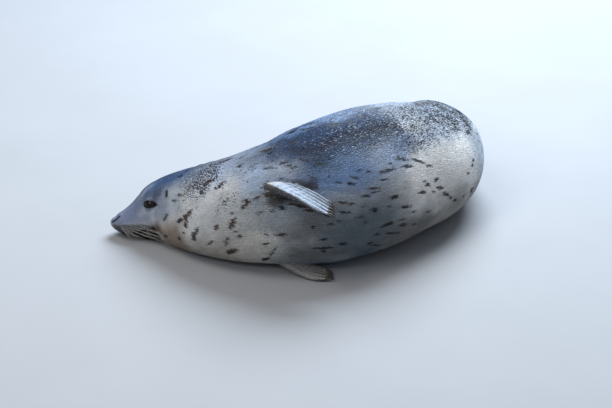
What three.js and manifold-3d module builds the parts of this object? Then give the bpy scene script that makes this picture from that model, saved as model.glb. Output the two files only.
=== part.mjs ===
// A harbor seal at rest on its right flank: a still, life-size model in millimetres, +Z up.
// The seal's nose is at -X and its back curls away towards +Y; the flank lies flat on z = 0.
//
// The trunk is one loft round a bent spine, parted into nodes by thin cuts. A place on it is
// (s, phi): s millimetres along the spine from the nose, phi round the section, 0 on the back,
// 90 on the seal's left, 180 on the belly and 270 on its right.
import * as THREE from 'three';
import { LoftGeometry } from 'three/addons/geometries/LoftGeometry.js';
import { mergeVertices } from 'three/addons/utils/BufferGeometryUtils.js';
import Module from 'manifold-3d';

// ---------------------------------------------------------------- driving dimensions

const GAP = 0.3; // between neighbouring pieces

// Section half-sizes towards back, belly and flanks, and the height of the spine above the ground.
const SECTIONS = [
	{ s: 0, back: 8, belly: 8, flank: 9, height: 35 },
	{ s: 3, back: 11, belly: 12, flank: 14, height: 35 },
	{ s: 9.5, back: 14, belly: 17, flank: 19, height: 35 },
	{ s: 28, back: 26, belly: 31, flank: 31, height: 37 },
	{ s: 56, back: 42, belly: 51, flank: 39, height: 42 },
	{ s: 94, back: 61, belly: 70, flank: 51, height: 55 },
	{ s: 141, back: 79, belly: 93, flank: 67, height: 74 },
	{ s: 200, back: 94, belly: 112, flank: 87, height: 93 },
	{ s: 274, back: 114, belly: 126, flank: 110, height: 109 },
	{ s: 356, back: 134, belly: 140, flank: 131, height: 125 },
	{ s: 454, back: 156, belly: 158, flank: 157, height: 146 },
	{ s: 554, back: 175, belly: 182, flank: 175, height: 161 },
	{ s: 654, back: 188, belly: 189, flank: 181, height: 166 },
	{ s: 754, back: 191, belly: 190, flank: 174, height: 160 },
	{ s: 854, back: 183, belly: 187, flank: 163, height: 150 },
	{ s: 954, back: 168, belly: 173, flank: 147, height: 135 },
	{ s: 1054, back: 144, belly: 144, flank: 129, height: 119 },
	{ s: 1154, back: 110, belly: 105, flank: 108, height: 100 },
	{ s: 1254, back: 71, belly: 66, flank: 79, height: 71 },
	{ s: 1320, back: 44, belly: 40, flank: 50, height: 45 },
	{ s: 1345, back: 24, belly: 22, flank: 34, height: 41 },
];

// Where the spine heads, seen from above, and how far each section is rolled onto the right flank.
const HEADING = [
	[ 0, 2 ], [ 100, - 4 ], [ 170, - 22 ], [ 250, - 28 ], [ 345, - 22 ], [ 450, - 3 ], [ 604, 30 ],
	[ 724, 46 ], [ 854, 51 ], [ 1004, 74 ], [ 1104, 94 ], [ 1204, 122 ], [ 1345, 150 ],
];
const ROLL = [ [ 0, 16 ], [ 170, 20 ], [ 330, 52 ], [ 450, 75 ], [ 704, 78 ], [ 1345, 80 ] ];

const SPINE_STEP = 5;
const BODY_SOFTNESS = 8; // how gently the flank spreads where it meets the ground
const PAW_SOFTNESS = 3;
const SPREAD = 0.3; // share of the softness by which what rests on the ground sinks to it

// Swellings (height above zero) and hollows (below) of the head: s and phi of the middle, how far
// each reaches along s and round phi. All are on both sides of the head but those on a midline.
const HEAD_RELIEF = [
	{ s: 42, phi: 110, reach: 25, spread: 26, height: 7 }, // whisker pad
	{ s: 16, phi: 0, reach: 14, spread: 30, height: 2.5 }, // bridge behind the nostrils
	{ s: 78, phi: 20, reach: 22, spread: 50, height: - 4 }, // stop between muzzle and brow
	{ s: 84, phi: 92, reach: 22, spread: 26, height: - 3 }, // hollow between pad and cheek
	{ s: 138, phi: 44, reach: 24, spread: 20, height: 4 }, // brow
	{ s: 160, phi: 118, reach: 34, spread: 34, height: 5 }, // cheek
	{ s: 30, phi: 180, reach: 22, spread: 30, height: 2 }, // chin
];

const EYE = { s: 130, phi: 69, radius: 20, proud: 6 };

// The mouth: its line runs back from the front of the chin to a corner below the eye.
const MOUTH = { front: 15, corner: 115, dropFront: 20, dropCorner: 31, reach: 110 };

// Parting cuts across the trunk.
const PARTS = [
	{ name: 'nose', from: 0, to: 9, rows: 2 },
	{ name: 'head', from: 9, to: 196, rows: 15 },
	{ name: 'neck', from: 196, to: 335, rows: 5 },
	{ name: 'chest', from: 335, to: 560, rows: 6 },
	{ name: 'belly', from: 560, to: 800, rows: 6 },
	{ name: 'hips', from: 800, to: 1060, rows: 6 },
	{ name: 'rump', from: 1060, to: 1345, rows: 8 },
];
const RING = 34; // points round a section of the trunk

const DIGITS = 5;

// Flippers: a paddle on a wrist. Its half widths and half thicknesses are tracks from the root, 0,
// to the tips of the digits, 1. A claw is set into its digit, and set is how deep.
const FORE_SHAPE = {
	ridge: 0.3, scallop: 0.035, slant: 0.05, fork: 0, rows: 9, ring: 30,
	width: [ [ 0, 40 ], [ 0.25, 34 ], [ 0.5, 31 ], [ 0.8, 33 ], [ 0.95, 31 ], [ 1, 27 ] ],
	thick: [ [ 0, 26 ], [ 0.25, 19 ], [ 0.5, 12.5 ], [ 0.8, 8.5 ], [ 0.95, 7.2 ], [ 1, 4.5 ] ],
	claw: { set: 16, length: 29, width: 2.4, thick: 2.6 },
};
const HIND_SHAPE = {
	ridge: 0.3, scallop: 0.02, slant: 0, fork: 0.07, rows: 7, ring: 26,
	width: [ [ 0, 24 ], [ 0.2, 27 ], [ 0.45, 34 ], [ 0.75, 46 ], [ 0.95, 54 ], [ 1, 52 ] ],
	thick: [ [ 0, 17 ], [ 0.2, 16 ], [ 0.45, 11.5 ], [ 0.75, 8.5 ], [ 0.95, 6.4 ], [ 1, 4 ] ],
	claw: { set: 13, length: 23, width: 2, thick: 2.2 },
};

// The upper fore flipper is held out over the belly; the lower one lies flat from under the chest.
// Each bends from a root inside the trunk; face is its upper side and front its leading edge.
const FORE_LEFT = {
	name: 'fore_flipper_left', claws: 'fore_claw_left',
	root: [ 398, - 178, 218 ], bend: [ 450, - 280, 276 ], tip: [ 549, - 312, 226 ],
	face: [ 0.12, - 0.1, 1 ], front: [ - 1, - 1, 0 ],
};
const FORE_RIGHT = {
	name: 'fore_flipper_right', claws: 'fore_claw_right',
	root: [ 408, - 120, 46 ], bend: [ 468, - 216, 6 ], tip: [ 546, - 238, 6 ],
	face: [ 0, 0, 1 ], front: [ - 1, - 1, 0 ],
};

// Both hind flippers trail from the end of the trunk, sole to sole, so one lies over the other.
// turn is the heading of the tip seen from above, and sink how far it drops.
const HIND_ROOT = { s: 1262, apart: 23, down: 16 };
const HIND_LEFT = {
	name: 'hind_flipper_left', claws: 'hind_claw_left', side: 1, size: 244, turn: 167, sink: 14,
};
const HIND_RIGHT = {
	name: 'hind_flipper_right', claws: 'hind_claw_right', side: - 1, size: 238, turn: 162, sink: 15,
};

const TAIL = {
	root: 1290, lift: 32, size: 118, rows: 4, ring: 16,
	width: [ [ 0, 24 ], [ 0.5, 25 ], [ 0.85, 17 ], [ 1, 8 ] ],
	thick: [ [ 0, 11 ], [ 0.6, 9 ], [ 1, 4 ] ],
};

const COLOURS = { coat: 0xb9b6ac, nose: 0x3b3a38, eye: 0x0b0a0a, claw: 0x1f1b19 };

// ---------------------------------------------------------------- curves and places

const DEG = Math.PI / 180;

// A smooth track through knots [x, y] that never overshoots them (Fritsch and Carlson's slopes).
function track( knots ) {

	const x = knots.map( ( k ) => k[ 0 ] );
	const y = knots.map( ( k ) => k[ 1 ] );
	const slope = x.slice( 1 ).map( ( v, i ) => ( y[ i + 1 ] - y[ i ] ) / ( v - x[ i ] ) );
	const tangent = x.map( ( v, i ) => {

		if ( i === 0 ) return slope[ 0 ];
		if ( i === x.length - 1 ) return slope[ i - 1 ];
		const [ a, b ] = [ slope[ i - 1 ], slope[ i ] ];
		return a * b <= 0 ? 0 : 2 * a * b / ( a + b );

	} );

	return ( at ) => {

		const t = Math.min( Math.max( at, x[ 0 ] ), x[ x.length - 1 ] );
		let i = 0;
		while ( i < x.length - 2 && t > x[ i + 1 ] ) i ++;
		const h = x[ i + 1 ] - x[ i ];
		const u = ( t - x[ i ] ) / h;
		const v = 1 - u;
		return y[ i ] * v * v * ( 1 + 2 * u ) + y[ i + 1 ] * u * u * ( 1 + 2 * v )
			+ h * ( tangent[ i ] * u * v * v - tangent[ i + 1 ] * v * u * u );

	};

}

const sectionTrack = ( key ) => track( SECTIONS.map( ( at ) => [ at.s, at[ key ] ] ) );
const back = sectionTrack( 'back' );
const belly = sectionTrack( 'belly' );
const flank = sectionTrack( 'flank' );
const height = sectionTrack( 'height' );
const heading = track( HEADING );
const roll = track( ROLL );
const BODY_LENGTH = SECTIONS[ SECTIONS.length - 1 ].s;

// The spine, stepped out from the nose along its heading and rise.
const spine = [ new THREE.Vector3( 0, 0, height( 0 ) ) ];
for ( let s = 0; s < BODY_LENGTH; s += SPINE_STEP ) {

	const along = spineDirection( s + SPINE_STEP / 2 );
	const next = spine[ spine.length - 1 ].clone().addScaledVector( along, SPINE_STEP );
	next.z = height( s + SPINE_STEP );
	spine.push( next );

}

function spineDirection( s ) {

	const inside = Math.min( Math.max( s, 1 ), BODY_LENGTH - 1 );
	const rise = Math.asin( ( height( inside + 1 ) - height( inside - 1 ) ) / 2 );
	const turn = heading( s ) * DEG;
	return new THREE.Vector3(
		Math.cos( turn ) * Math.cos( rise ), Math.sin( turn ) * Math.cos( rise ), Math.sin( rise ) );

}

// The frame of the section at s: its middle, and the seal's own tailward, left and up directions.
function frameAt( s ) {

	const i = Math.min( Math.floor( s / SPINE_STEP ), spine.length - 2 );
	const middle = spine[ i ].clone().lerp( spine[ i + 1 ], s / SPINE_STEP - i );
	const tailward = spineDirection( s );
	const turn = heading( s ) * DEG;
	const lean = roll( s ) * DEG;
	const away = new THREE.Vector3( - Math.sin( turn ), Math.cos( turn ), 0 );
	const over = tailward.clone().cross( away );
	const left = away.clone().multiplyScalar( - Math.cos( lean ) ).addScaledVector( over, Math.sin( lean ) );
	const up = over.clone().multiplyScalar( Math.cos( lean ) ).addScaledVector( away, Math.sin( lean ) );
	return { middle, tailward, left, up };

}

// Flesh spreads where it meets the ground instead of passing through it.
function settle( point, softness ) {

	const z = 0.5 * ( point.z + Math.hypot( point.z, softness ) ) - SPREAD * softness;
	point.z = Math.max( z, 0 );
	return point;

}

function relief( s, phi ) {

	const side = Math.min( phi, 360 - phi );
	return HEAD_RELIEF.reduce( ( sum, at ) => sum + at.height
		* Math.exp( - ( ( ( s - at.s ) / at.reach ) ** 2 ) - ( ( side - at.phi ) / at.spread ) ** 2 ), 0 );

}

// The point of the coat at (s, phi), and at a depth under it or, below zero, above it.
function coatPoint( s, phi, depth = 0 ) {

	const { middle, left, up } = frameAt( s );
	const c = Math.cos( phi * DEG );
	const swell = relief( s, phi ) - depth;
	const high = ( c > 0 ? back( s ) : belly( s ) ) + swell;
	const point = middle.addScaledVector( left, ( flank( s ) + swell ) * Math.sin( phi * DEG ) )
		.addScaledVector( up, high * c );
	return settle( point, BODY_SOFTNESS );

}

function coatNormal( s, phi ) {

	const along = coatPoint( s + 1, phi ).sub( coatPoint( s - 1, phi ) );
	const round = coatPoint( s, phi + 1 ).sub( coatPoint( s, phi - 1 ) );
	return round.cross( along ).normalize();

}

// ---------------------------------------------------------------- solids

const wasm = await Module();
wasm.setup();

function solid( geometry ) {

	const bare = new THREE.BufferGeometry();
	bare.setAttribute( 'position', geometry.getAttribute( 'position' ) );
	bare.setIndex( geometry.getIndex() );
	const merged = mergeVertices( bare, 1e-4 );
	return new wasm.Manifold( new wasm.Mesh( {
		numProp: 3,
		vertProperties: merged.attributes.position.array,
		triVerts: new Uint32Array( merged.index.array ),
	} ) );

}

function surface( manifold ) {

	const mesh = manifold.getMesh();
	const geometry = new THREE.BufferGeometry();
	geometry.setAttribute( 'position', new THREE.BufferAttribute( mesh.vertProperties, 3 ) );
	geometry.setIndex( new THREE.BufferAttribute( mesh.triVerts, 1 ) );
	geometry.computeVertexNormals();
	return geometry;

}

// Rings joined by a loft, with each end closed by a fan round the middle of its ring.
function loft( rings ) {

	const walls = new LoftGeometry( rings, { closed: true } ).toNonIndexed().getAttribute( 'position' ).array;
	const fans = [];
	for ( const ring of [ [ ...rings[ 0 ] ].reverse(), rings[ rings.length - 1 ] ] ) {

		const middle = ring.reduce( ( sum, point ) => sum.add( point ), new THREE.Vector3() )
			.divideScalar( ring.length );
		ring.forEach( ( point, i ) => {

			fans.push( ...middle, ...point, ...ring[ ( i + 1 ) % ring.length ] );

		} );

	}

	const geometry = new THREE.BufferGeometry();
	geometry.setAttribute( 'position', new THREE.Float32BufferAttribute( [ ...walls, ...fans ], 3 ) );
	return solid( geometry );

}

// The places of a part's sections, with its ends drawn in by the share of a gap that is its own.
function stations( part, drawnIn ) {

	const places = [];
	for ( let i = 0; i <= part.rows; i ++ ) places.push( part.from + ( part.to - part.from ) * i / part.rows );
	places[ 0 ] += drawnIn;
	places[ part.rows ] -= drawnIn;
	return places;

}

// The trunk through some sections, swollen by grow on every side.
function trunk( places, grow = 0 ) {

	const rings = [];
	for ( const s of places ) {

		const ring = [];
		for ( let j = 0; j < RING; j ++ ) ring.push( coatPoint( s, 360 * j / RING, - grow ) );
		rings.push( ring );

	}

	return loft( rings );

}

// What lies below the line of the mouth, from the chin to the corner of the mouth.
function mouthWedge( grow ) {

	const rings = [];
	for ( const s of [ MOUTH.front - grow, MOUTH.corner + grow ] ) {

		const { middle, left, up } = frameAt( s );
		const t = ( s - MOUTH.front ) / ( MOUTH.corner - MOUTH.front );
		const drop = MOUTH.dropFront + ( MOUTH.dropCorner - MOUTH.dropFront ) * t - grow;
		const corner = ( side, down ) => middle.clone()
			.addScaledVector( left, side * MOUTH.reach ).addScaledVector( up, - down );
		rings.push( [
			corner( 1, MOUTH.reach ), corner( - 1, MOUTH.reach ), corner( - 1, drop ), corner( 1, drop ),
		] );

	}

	return loft( rings );

}

// ---------------------------------------------------------------- flippers

const vector = ( xyz ) => new THREE.Vector3( ...xyz );

// A limb's axes at u along its path: length towards the tip, face its back, front its leading edge.
function limbAxes( limb, u ) {

	const length = limb.path.getTangent( u );
	const face = limb.face.clone().addScaledVector( length, - limb.face.dot( length ) ).normalize();
	const front = face.clone().cross( length ).normalize();
	if ( front.dot( limb.front ) < 0 ) front.negate();
	return { length, face, front };

}

// Sections between an ellipse and a rectangle, so that the outer digits are as full as the others.
const squared = ( v ) => Math.sign( v ) * Math.abs( v ) ** 0.72;

const digitWave = ( x ) => Math.cos( Math.PI * DIGITS * ( x + 1 - 1 / DIGITS ) );

// The surface of a flipper: u from root to tip, x from -1 on the rear edge to 1 on the front edge,
// and y from -1 on the sole to 1 on the back.
function flipperPoint( shape, limb, grow = 0 ) {

	const width = track( shape.width );
	const thick = track( shape.thick );
	const size = limb.path.getLength();
	return ( u, x, y ) => {

		const splay = THREE.MathUtils.smoothstep( u, 0.35, 0.9 );
		const further = u * u
			* ( shape.slant * x + shape.scallop * digitWave( x ) + shape.fork * ( x * x - 0.5 ) );
		const ridged = 1 + shape.ridge * splay * 0.5 * ( digitWave( x ) - 1 ) * ( 1 - 0.3 * x * x );
		const axes = limbAxes( limb, u );
		const point = limb.path.getPoint( u )
			.addScaledVector( axes.length, size * further )
			.addScaledVector( axes.face, y * ( thick( u ) * ridged + grow ) )
			.addScaledVector( axes.front, x * ( width( u ) + grow ) );
		return settle( point, PAW_SOFTNESS );

	};

}

// Rings wind so that the loft faces outwards, whichever hand the limb's axes have.
function wound( rings, across, rise, along ) {

	const turned = across.clone().cross( rise ).dot( along ) < 0;
	return loft( turned ? rings.map( ( ring ) => ring.reverse() ) : rings );

}

function flipper( shape, limb, grow = 0 ) {

	const at = flipperPoint( shape, limb, grow );
	const rings = [];
	for ( let i = 0; i <= shape.rows; i ++ ) {

		const ring = [];
		for ( let j = 0; j < shape.ring; j ++ ) {

			const a = 2 * Math.PI * ( j + 0.5 ) / shape.ring;
			ring.push( at( i / shape.rows, squared( Math.cos( a ) ), squared( Math.sin( a ) ) ) );

		}

		rings.push( ring );

	}

	const { length, face, front } = limbAxes( limb, 0.5 );
	return wound( rings, front, face, length );

}

// A claw: a bent horn that leaves the back of a digit and reaches past its tip.
function claw( shape, limb, digit, grow = 0 ) {

	const SIDES = 5;
	const STEPS = 3;
	const ROOT_RISE = 1; // towards the back of the digit
	const ARCH = 0.14;
	const at = flipperPoint( shape, limb );
	const x = ( 2 * digit + 1 ) / DIGITS - 1;
	const tip = at( 1, x, 0 );
	const ahead = tip.clone().sub( at( 0.9, x, 0 ) ).normalize();
	const rise = limb.face.clone().addScaledVector( ahead, - limb.face.dot( ahead ) ).normalize();
	const start = tip.addScaledVector( ahead, - shape.claw.set ).addScaledVector( rise, ROOT_RISE );
	const across = rise.clone().cross( ahead );
	const rings = [];
	for ( let i = 0; i <= STEPS; i ++ ) {

		const t = i / STEPS;
		const taper = 1 - 0.8 * t ** 1.6;
		const middle = start.clone()
			.addScaledVector( ahead, shape.claw.length * t - ( i === 0 ? grow : 0 ) )
			.addScaledVector( rise, shape.claw.length * ARCH * Math.sin( Math.PI * t ) );
		const ring = [];
		for ( let j = 0; j < SIDES; j ++ ) {

			const a = 2 * Math.PI * ( j + 0.5 ) / SIDES;
			ring.push( settle( middle.clone()
				.addScaledVector( across, ( shape.claw.width * taper + grow ) * Math.cos( a ) )
				.addScaledVector( rise, ( shape.claw.thick * taper + grow ) * Math.sin( a ) ), PAW_SOFTNESS ) );

		}

		rings.push( ring );

	}

	return wound( rings, across, rise, ahead );

}

function foreLimb( at ) {

	const path = new THREE.QuadraticBezierCurve3( vector( at.root ), vector( at.bend ), vector( at.tip ) );
	return { name: at.name, claws: at.claws, path, face: vector( at.face ), front: vector( at.front ) };

}

function hindLimb( at ) {

	const { middle, tailward, left, up } = frameAt( HIND_ROOT.s );
	const root = middle.clone().addScaledVector( left, at.side * HIND_ROOT.apart )
		.addScaledVector( up, - HIND_ROOT.down );
	const tip = root.clone().add( new THREE.Vector3(
		at.size * Math.cos( at.turn * DEG ), at.size * Math.sin( at.turn * DEG ), - at.sink ) );
	const bend = root.clone().addScaledVector( tailward, at.size / 3 );
	const path = new THREE.QuadraticBezierCurve3( root, bend, tip );
	return { name: at.name, claws: at.claws, path, face: left.clone().multiplyScalar( at.side ), front: up };

}

// The tail: a short flat flap on the midline, above the roots of the hind flippers.
function tailFlap() {

	const { middle, tailward, left, up } = frameAt( TAIL.root );
	const width = track( TAIL.width );
	const thick = track( TAIL.thick );
	const rings = [];
	for ( let i = 0; i <= TAIL.rows; i ++ ) {

		const u = i / TAIL.rows;
		const ring = [];
		for ( let j = 0; j < TAIL.ring; j ++ ) {

			const a = 2 * Math.PI * j / TAIL.ring;
			ring.push( settle( middle.clone().addScaledVector( tailward, TAIL.size * u )
				.addScaledVector( up, TAIL.lift + thick( u ) * Math.cos( a ) )
				.addScaledVector( left, width( u ) * Math.sin( a ) ), PAW_SOFTNESS ) );

		}

		rings.push( ring );

	}

	return wound( rings, up, left, tailward );

}

// ---------------------------------------------------------------- the seal

const seal = new THREE.Group();

function add( name, manifold, colour, roughness ) {

	const material = new THREE.MeshStandardMaterial( { color: colour, roughness, metalness: 0 } );
	const mesh = new THREE.Mesh( surface( manifold ), material );
	mesh.name = name;
	seal.add( mesh );

}

const COAT_ROUGHNESS = 0.85;
const coat = ( name, manifold ) => add( name, manifold, COLOURS.coat, COAT_ROUGHNESS );
const cut = ( body, tools ) => tools.reduce( ( left, tool ) => left.subtract( tool ), body );

// The eyes.
const eyes = [ [ 'eye_left', EYE.phi ], [ 'eye_right', 360 - EYE.phi ] ].map( ( [ name, phi ] ) => {

	const middle = coatPoint( EYE.s, phi ).addScaledVector( coatNormal( EYE.s, phi ), EYE.proud - EYE.radius );
	const ball = ( grow ) => solid( new THREE.SphereGeometry( EYE.radius + grow, 14, 9 )
		.translate( middle.x, middle.y, middle.z ) );
	return { name, ball };

} );
for ( const eye of eyes ) add( eye.name, eye.ball( 0 ), COLOURS.eye, 0.1 );

// The trunk, parted across; the head gives up its eye sockets and its lower jaw.
for ( const part of PARTS ) {

	const piece = trunk( stations( part, GAP / 2 ) );
	if ( part.name === 'nose' ) add( part.name, piece, COLOURS.nose, 0.5 );
	else if ( part.name === 'head' ) {

		coat( 'head', cut( piece, [ ...eyes.map( ( eye ) => eye.ball( GAP ) ), mouthWedge( GAP ) ] ) );
		coat( 'lower_jaw', piece.intersect( mouthWedge( 0 ) ) );

	} else coat( part.name, piece );

}

// The flippers, cut back to the trunk, with their claws set into the digits.
const wholeTrunk = trunk( PARTS.flatMap( ( part, i ) => stations( part, 0 ).slice( i === 0 ? 0 : 1 ) ), GAP );
const limbs = [
	[ FORE_SHAPE, foreLimb( FORE_LEFT ) ], [ FORE_SHAPE, foreLimb( FORE_RIGHT ) ],
	[ HIND_SHAPE, hindLimb( HIND_LEFT ) ], [ HIND_SHAPE, hindLimb( HIND_RIGHT ) ],
];
for ( const [ shape, limb ] of limbs ) {

	const sockets = [];
	for ( let digit = 0; digit < DIGITS; digit ++ ) {

		add( `${ limb.claws }_${ digit + 1 }`, claw( shape, limb, digit ), COLOURS.claw, 0.4 );
		sockets.push( claw( shape, limb, digit, GAP ) );

	}

	coat( limb.name, cut( flipper( shape, limb ), [ wholeTrunk, ...sockets ] ) );

}

const hindHollows = limbs.slice( 2 ).map( ( [ shape, limb ] ) => flipper( shape, limb, GAP ) );
coat( 'tail', cut( tailFlap(), [ wholeTrunk, ...hindHollows ] ) );

// The origin goes to the middle of the ground the seal covers.
const middle = new THREE.Box3().setFromObject( seal ).getCenter( new THREE.Vector3() );
for ( const mesh of seal.children ) mesh.geometry.translate( - middle.x, - middle.y, 0 );

export default seal;
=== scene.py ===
import math

import bmesh
import bpy
import numpy as np
from mathutils import Matrix, Vector


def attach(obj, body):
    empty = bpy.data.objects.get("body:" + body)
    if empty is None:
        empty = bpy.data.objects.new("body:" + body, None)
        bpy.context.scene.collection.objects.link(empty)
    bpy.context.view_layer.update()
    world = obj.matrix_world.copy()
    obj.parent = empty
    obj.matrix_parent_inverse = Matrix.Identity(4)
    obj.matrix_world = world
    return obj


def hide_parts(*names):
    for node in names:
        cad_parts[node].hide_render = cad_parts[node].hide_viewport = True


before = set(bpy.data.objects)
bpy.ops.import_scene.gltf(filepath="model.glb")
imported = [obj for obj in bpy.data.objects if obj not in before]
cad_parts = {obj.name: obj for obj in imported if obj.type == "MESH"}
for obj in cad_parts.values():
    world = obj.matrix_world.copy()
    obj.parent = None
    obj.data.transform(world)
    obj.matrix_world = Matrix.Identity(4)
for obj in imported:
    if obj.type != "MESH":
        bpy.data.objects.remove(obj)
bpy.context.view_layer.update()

# A harbor seal resting on its right flank. Shapes are worked out in millimetres from the tip of
# the nose, in the seal's own places: s along the spine, phi round it (0 back, 90 left, 180 belly).
# A finished mesh is moved to NOSE and scaled to metres.

NOSE = np.array([-480.808, -119.532, 0.0])
MM = 0.001
DEG = math.pi / 180
rng = np.random.default_rng(41)

# ---------------------------------------------------------------- the body's named sizes

# s, back, belly, flank, height of the spine
SECTIONS = [
    (0, 8, 8, 9, 35), (3, 11, 12, 14, 35), (9.5, 14, 17, 19, 35), (28, 26, 31, 31, 37),
    (56, 42, 51, 39, 42), (94, 61, 70, 51, 55), (141, 79, 93, 67, 74), (200, 94, 112, 87, 93),
    (274, 114, 126, 110, 109), (356, 134, 140, 131, 125), (454, 156, 158, 157, 146),
    (554, 175, 182, 175, 161), (654, 188, 189, 181, 166), (754, 191, 190, 174, 160),
    (854, 183, 187, 163, 150), (954, 168, 173, 147, 135), (1054, 144, 144, 129, 119),
    (1154, 110, 105, 108, 100), (1254, 71, 66, 79, 71), (1320, 44, 40, 50, 45),
    (1345, 24, 22, 34, 41),
]
HEADING = [
    (0, 2), (100, -4), (170, -22), (250, -28), (345, -22), (450, -3), (604, 30), (724, 46),
    (854, 51), (1004, 74), (1104, 94), (1204, 122), (1345, 150),
]
ROLL = [(0, 16), (170, 20), (330, 52), (450, 75), (704, 78), (1345, 80)]
SPINE_STEP = 5
BODY_SOFTNESS = 8
PAW_SOFTNESS = 3
SPREAD = 0.3
LENGTH = 1345.0
HEAD_END = 260
NOSE_BULGE, REAR_BULGE = 3.0, 8.0
LOWEST = 0.4  # how high the skin stays above the ground

# s, phi, reach along s, spread round phi, height
HEAD_RELIEF = [
    (42, 110, 25, 26, 7), (16, 0, 14, 30, 2.5), (78, 20, 22, 50, -4), (84, 92, 22, 26, -3),
    (138, 44, 24, 20, 4), (160, 118, 34, 34, 5), (30, 180, 22, 30, 2),
]
COAT_DEPTH = [(0, 0.5), (60, 0.8), (200, 1.8), (400, 3.0), (1200, 3.0), (1345, 2.0)]

EYE_S, EYE_PHI, EYE_RADIUS, EYE_PROUD = 130, 69, 20.0, 6.0
GAZE = (0.90, -0.36, -0.14)  # how far the eye looks outward, forward and upward
LID_LONG, LID_UP, LID_DOWN, LID_TILT = 15.6, 5.8, 8.2, 34
EAR_S, EAR_PHI, EAR_HALF, EAR_SUNK = 201, 69, 6.0, 1.5
NOSTRIL = [(25, 41), (13, 50), (4.5, 64)]
MOUTH_FRONT, MOUTH_CORNER = 11.0, 118.0
MOUTH_DROP = [(11, 17), (15, 20), (115, 31), (118, 31)]

DIGITS = 5
LIMB_COAT = 0.8
FORE_SHAPE = dict(
    ridge=0.3, scallop=0.035, slant=0.05, fork=0.0,
    width=[(0, 40), (0.25, 34), (0.5, 31), (0.8, 33), (0.95, 31), (1, 27)],
    thick=[(0, 26), (0.25, 19), (0.5, 12.5), (0.8, 8.5), (0.95, 7.2), (1, 4.5)],
    claw=dict(set=16, length=29, width=2.4),
)
HIND_SHAPE = dict(
    ridge=0.3, scallop=0.02, slant=0.0, fork=0.07,
    width=[(0, 24), (0.2, 27), (0.45, 34), (0.75, 46), (0.95, 54), (1, 52)],
    thick=[(0, 17), (0.2, 16), (0.45, 11.5), (0.75, 8.5), (0.95, 6.4), (1, 4)],
    claw=dict(set=13, length=23, width=2),
)
HIND_ROOT_S, HIND_APART, HIND_DOWN = 1262, 23, 16
TAIL = dict(
    root=1290, lift=32, size=118,
    width=[(0, 24), (0.5, 25), (0.85, 17), (1, 8)],
    thick=[(0, 11), (0.6, 9), (1, 4)],
)


def unit(v):
    return v / np.linalg.norm(v, axis=-1, keepdims=True)


def smooth(low, high, x):
    t = np.clip((np.asarray(x, float) - low) / (high - low), 0, 1)
    return t * t * (3 - 2 * t)


def track(knots):
    """A smooth track through (x, y) knots that never overshoots them."""
    x = np.array([k[0] for k in knots], float)
    y = np.array([k[1] for k in knots], float)
    slope = np.diff(y) / np.diff(x)
    tangent = np.empty_like(x)
    tangent[0], tangent[-1] = slope[0], slope[-1]
    a, b = slope[:-1], slope[1:]
    both = np.where(a + b == 0, 1, a + b)
    tangent[1:-1] = np.where(a * b <= 0, 0, 2 * a * b / both)

    def read(at):
        at = np.clip(np.asarray(at, float), x[0], x[-1])
        i = np.clip(np.searchsorted(x, at, side="left") - 1, 0, len(x) - 2)
        h = x[i + 1] - x[i]
        u = (at - x[i]) / h
        v = 1 - u
        return (y[i] * v * v * (1 + 2 * u) + y[i + 1] * u * u * (1 + 2 * v)
                + h * (tangent[i] * u * v * v - tangent[i + 1] * v * u * u))

    return read


back, belly, flank, height = (track([(r[0], r[k]) for r in SECTIONS]) for k in (1, 2, 3, 4))
heading = track(HEADING)
roll = track(ROLL)
coat_depth = track(COAT_DEPTH)


def tailward_at(s):
    s = np.asarray(s, float)
    inside = np.clip(s, 1, LENGTH - 1)
    rise = np.arcsin((height(inside + 1) - height(inside - 1)) / 2)
    turn = heading(s) * DEG
    return np.stack([np.cos(turn) * np.cos(rise), np.sin(turn) * np.cos(rise), np.sin(rise)], -1)


steps = np.arange(0, LENGTH, SPINE_STEP)
spine = np.zeros((len(steps) + 1, 3))
spine[1:] = np.cumsum(tailward_at(steps + SPINE_STEP / 2) * SPINE_STEP, 0)
spine[:, 2] = height(np.r_[0, steps + SPINE_STEP])


def frame_at(s):
    """Middle of the section at s, and the seal's own tailward, left and up directions there."""
    s = np.asarray(s, float)
    i = np.clip((s / SPINE_STEP).astype(int), 0, len(spine) - 2)
    f = (s / SPINE_STEP - i)[..., None]
    middle = spine[i] * (1 - f) + spine[i + 1] * f
    tail = tailward_at(s)
    turn = heading(s) * DEG
    lean = (roll(s) * DEG)[..., None]
    away = np.stack([-np.sin(turn), np.cos(turn), 0 * turn], -1)
    over = np.cross(tail, away)
    left = -np.cos(lean) * away + np.sin(lean) * over
    up = np.cos(lean) * over + np.sin(lean) * away
    return middle, tail, left, up


def settle(points, softness):
    """Rests points on the ground, and spreads what is near it."""
    z = points[..., 2]
    points = points.copy()
    points[..., 2] = np.maximum(0.5 * (z + np.hypot(z, softness)) - SPREAD * softness, 0)
    return points


def coat_point(s, phi, depth=0.0, extra=0.0):
    """The tips of the coat at (s, phi), or a place under them."""
    s, phi = np.broadcast_arrays(np.asarray(s, float), np.asarray(phi, float))
    phi = phi % 360
    middle, _, left, up = frame_at(s)
    side = np.minimum(phi, 360 - phi)
    swell = extra - depth
    for at, angle, reach, spread, high in HEAD_RELIEF:
        swell = swell + high * np.exp(-((s - at) / reach) ** 2 - ((side - angle) / spread) ** 2)
    c = np.cos(phi * DEG)
    tall = (np.where(c > 0, back(s), belly(s)) + swell) * c
    wide = (flank(s) + swell) * np.sin(phi * DEG)
    return settle(middle + left * wide[..., None] + up * tall[..., None], BODY_SOFTNESS)


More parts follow.
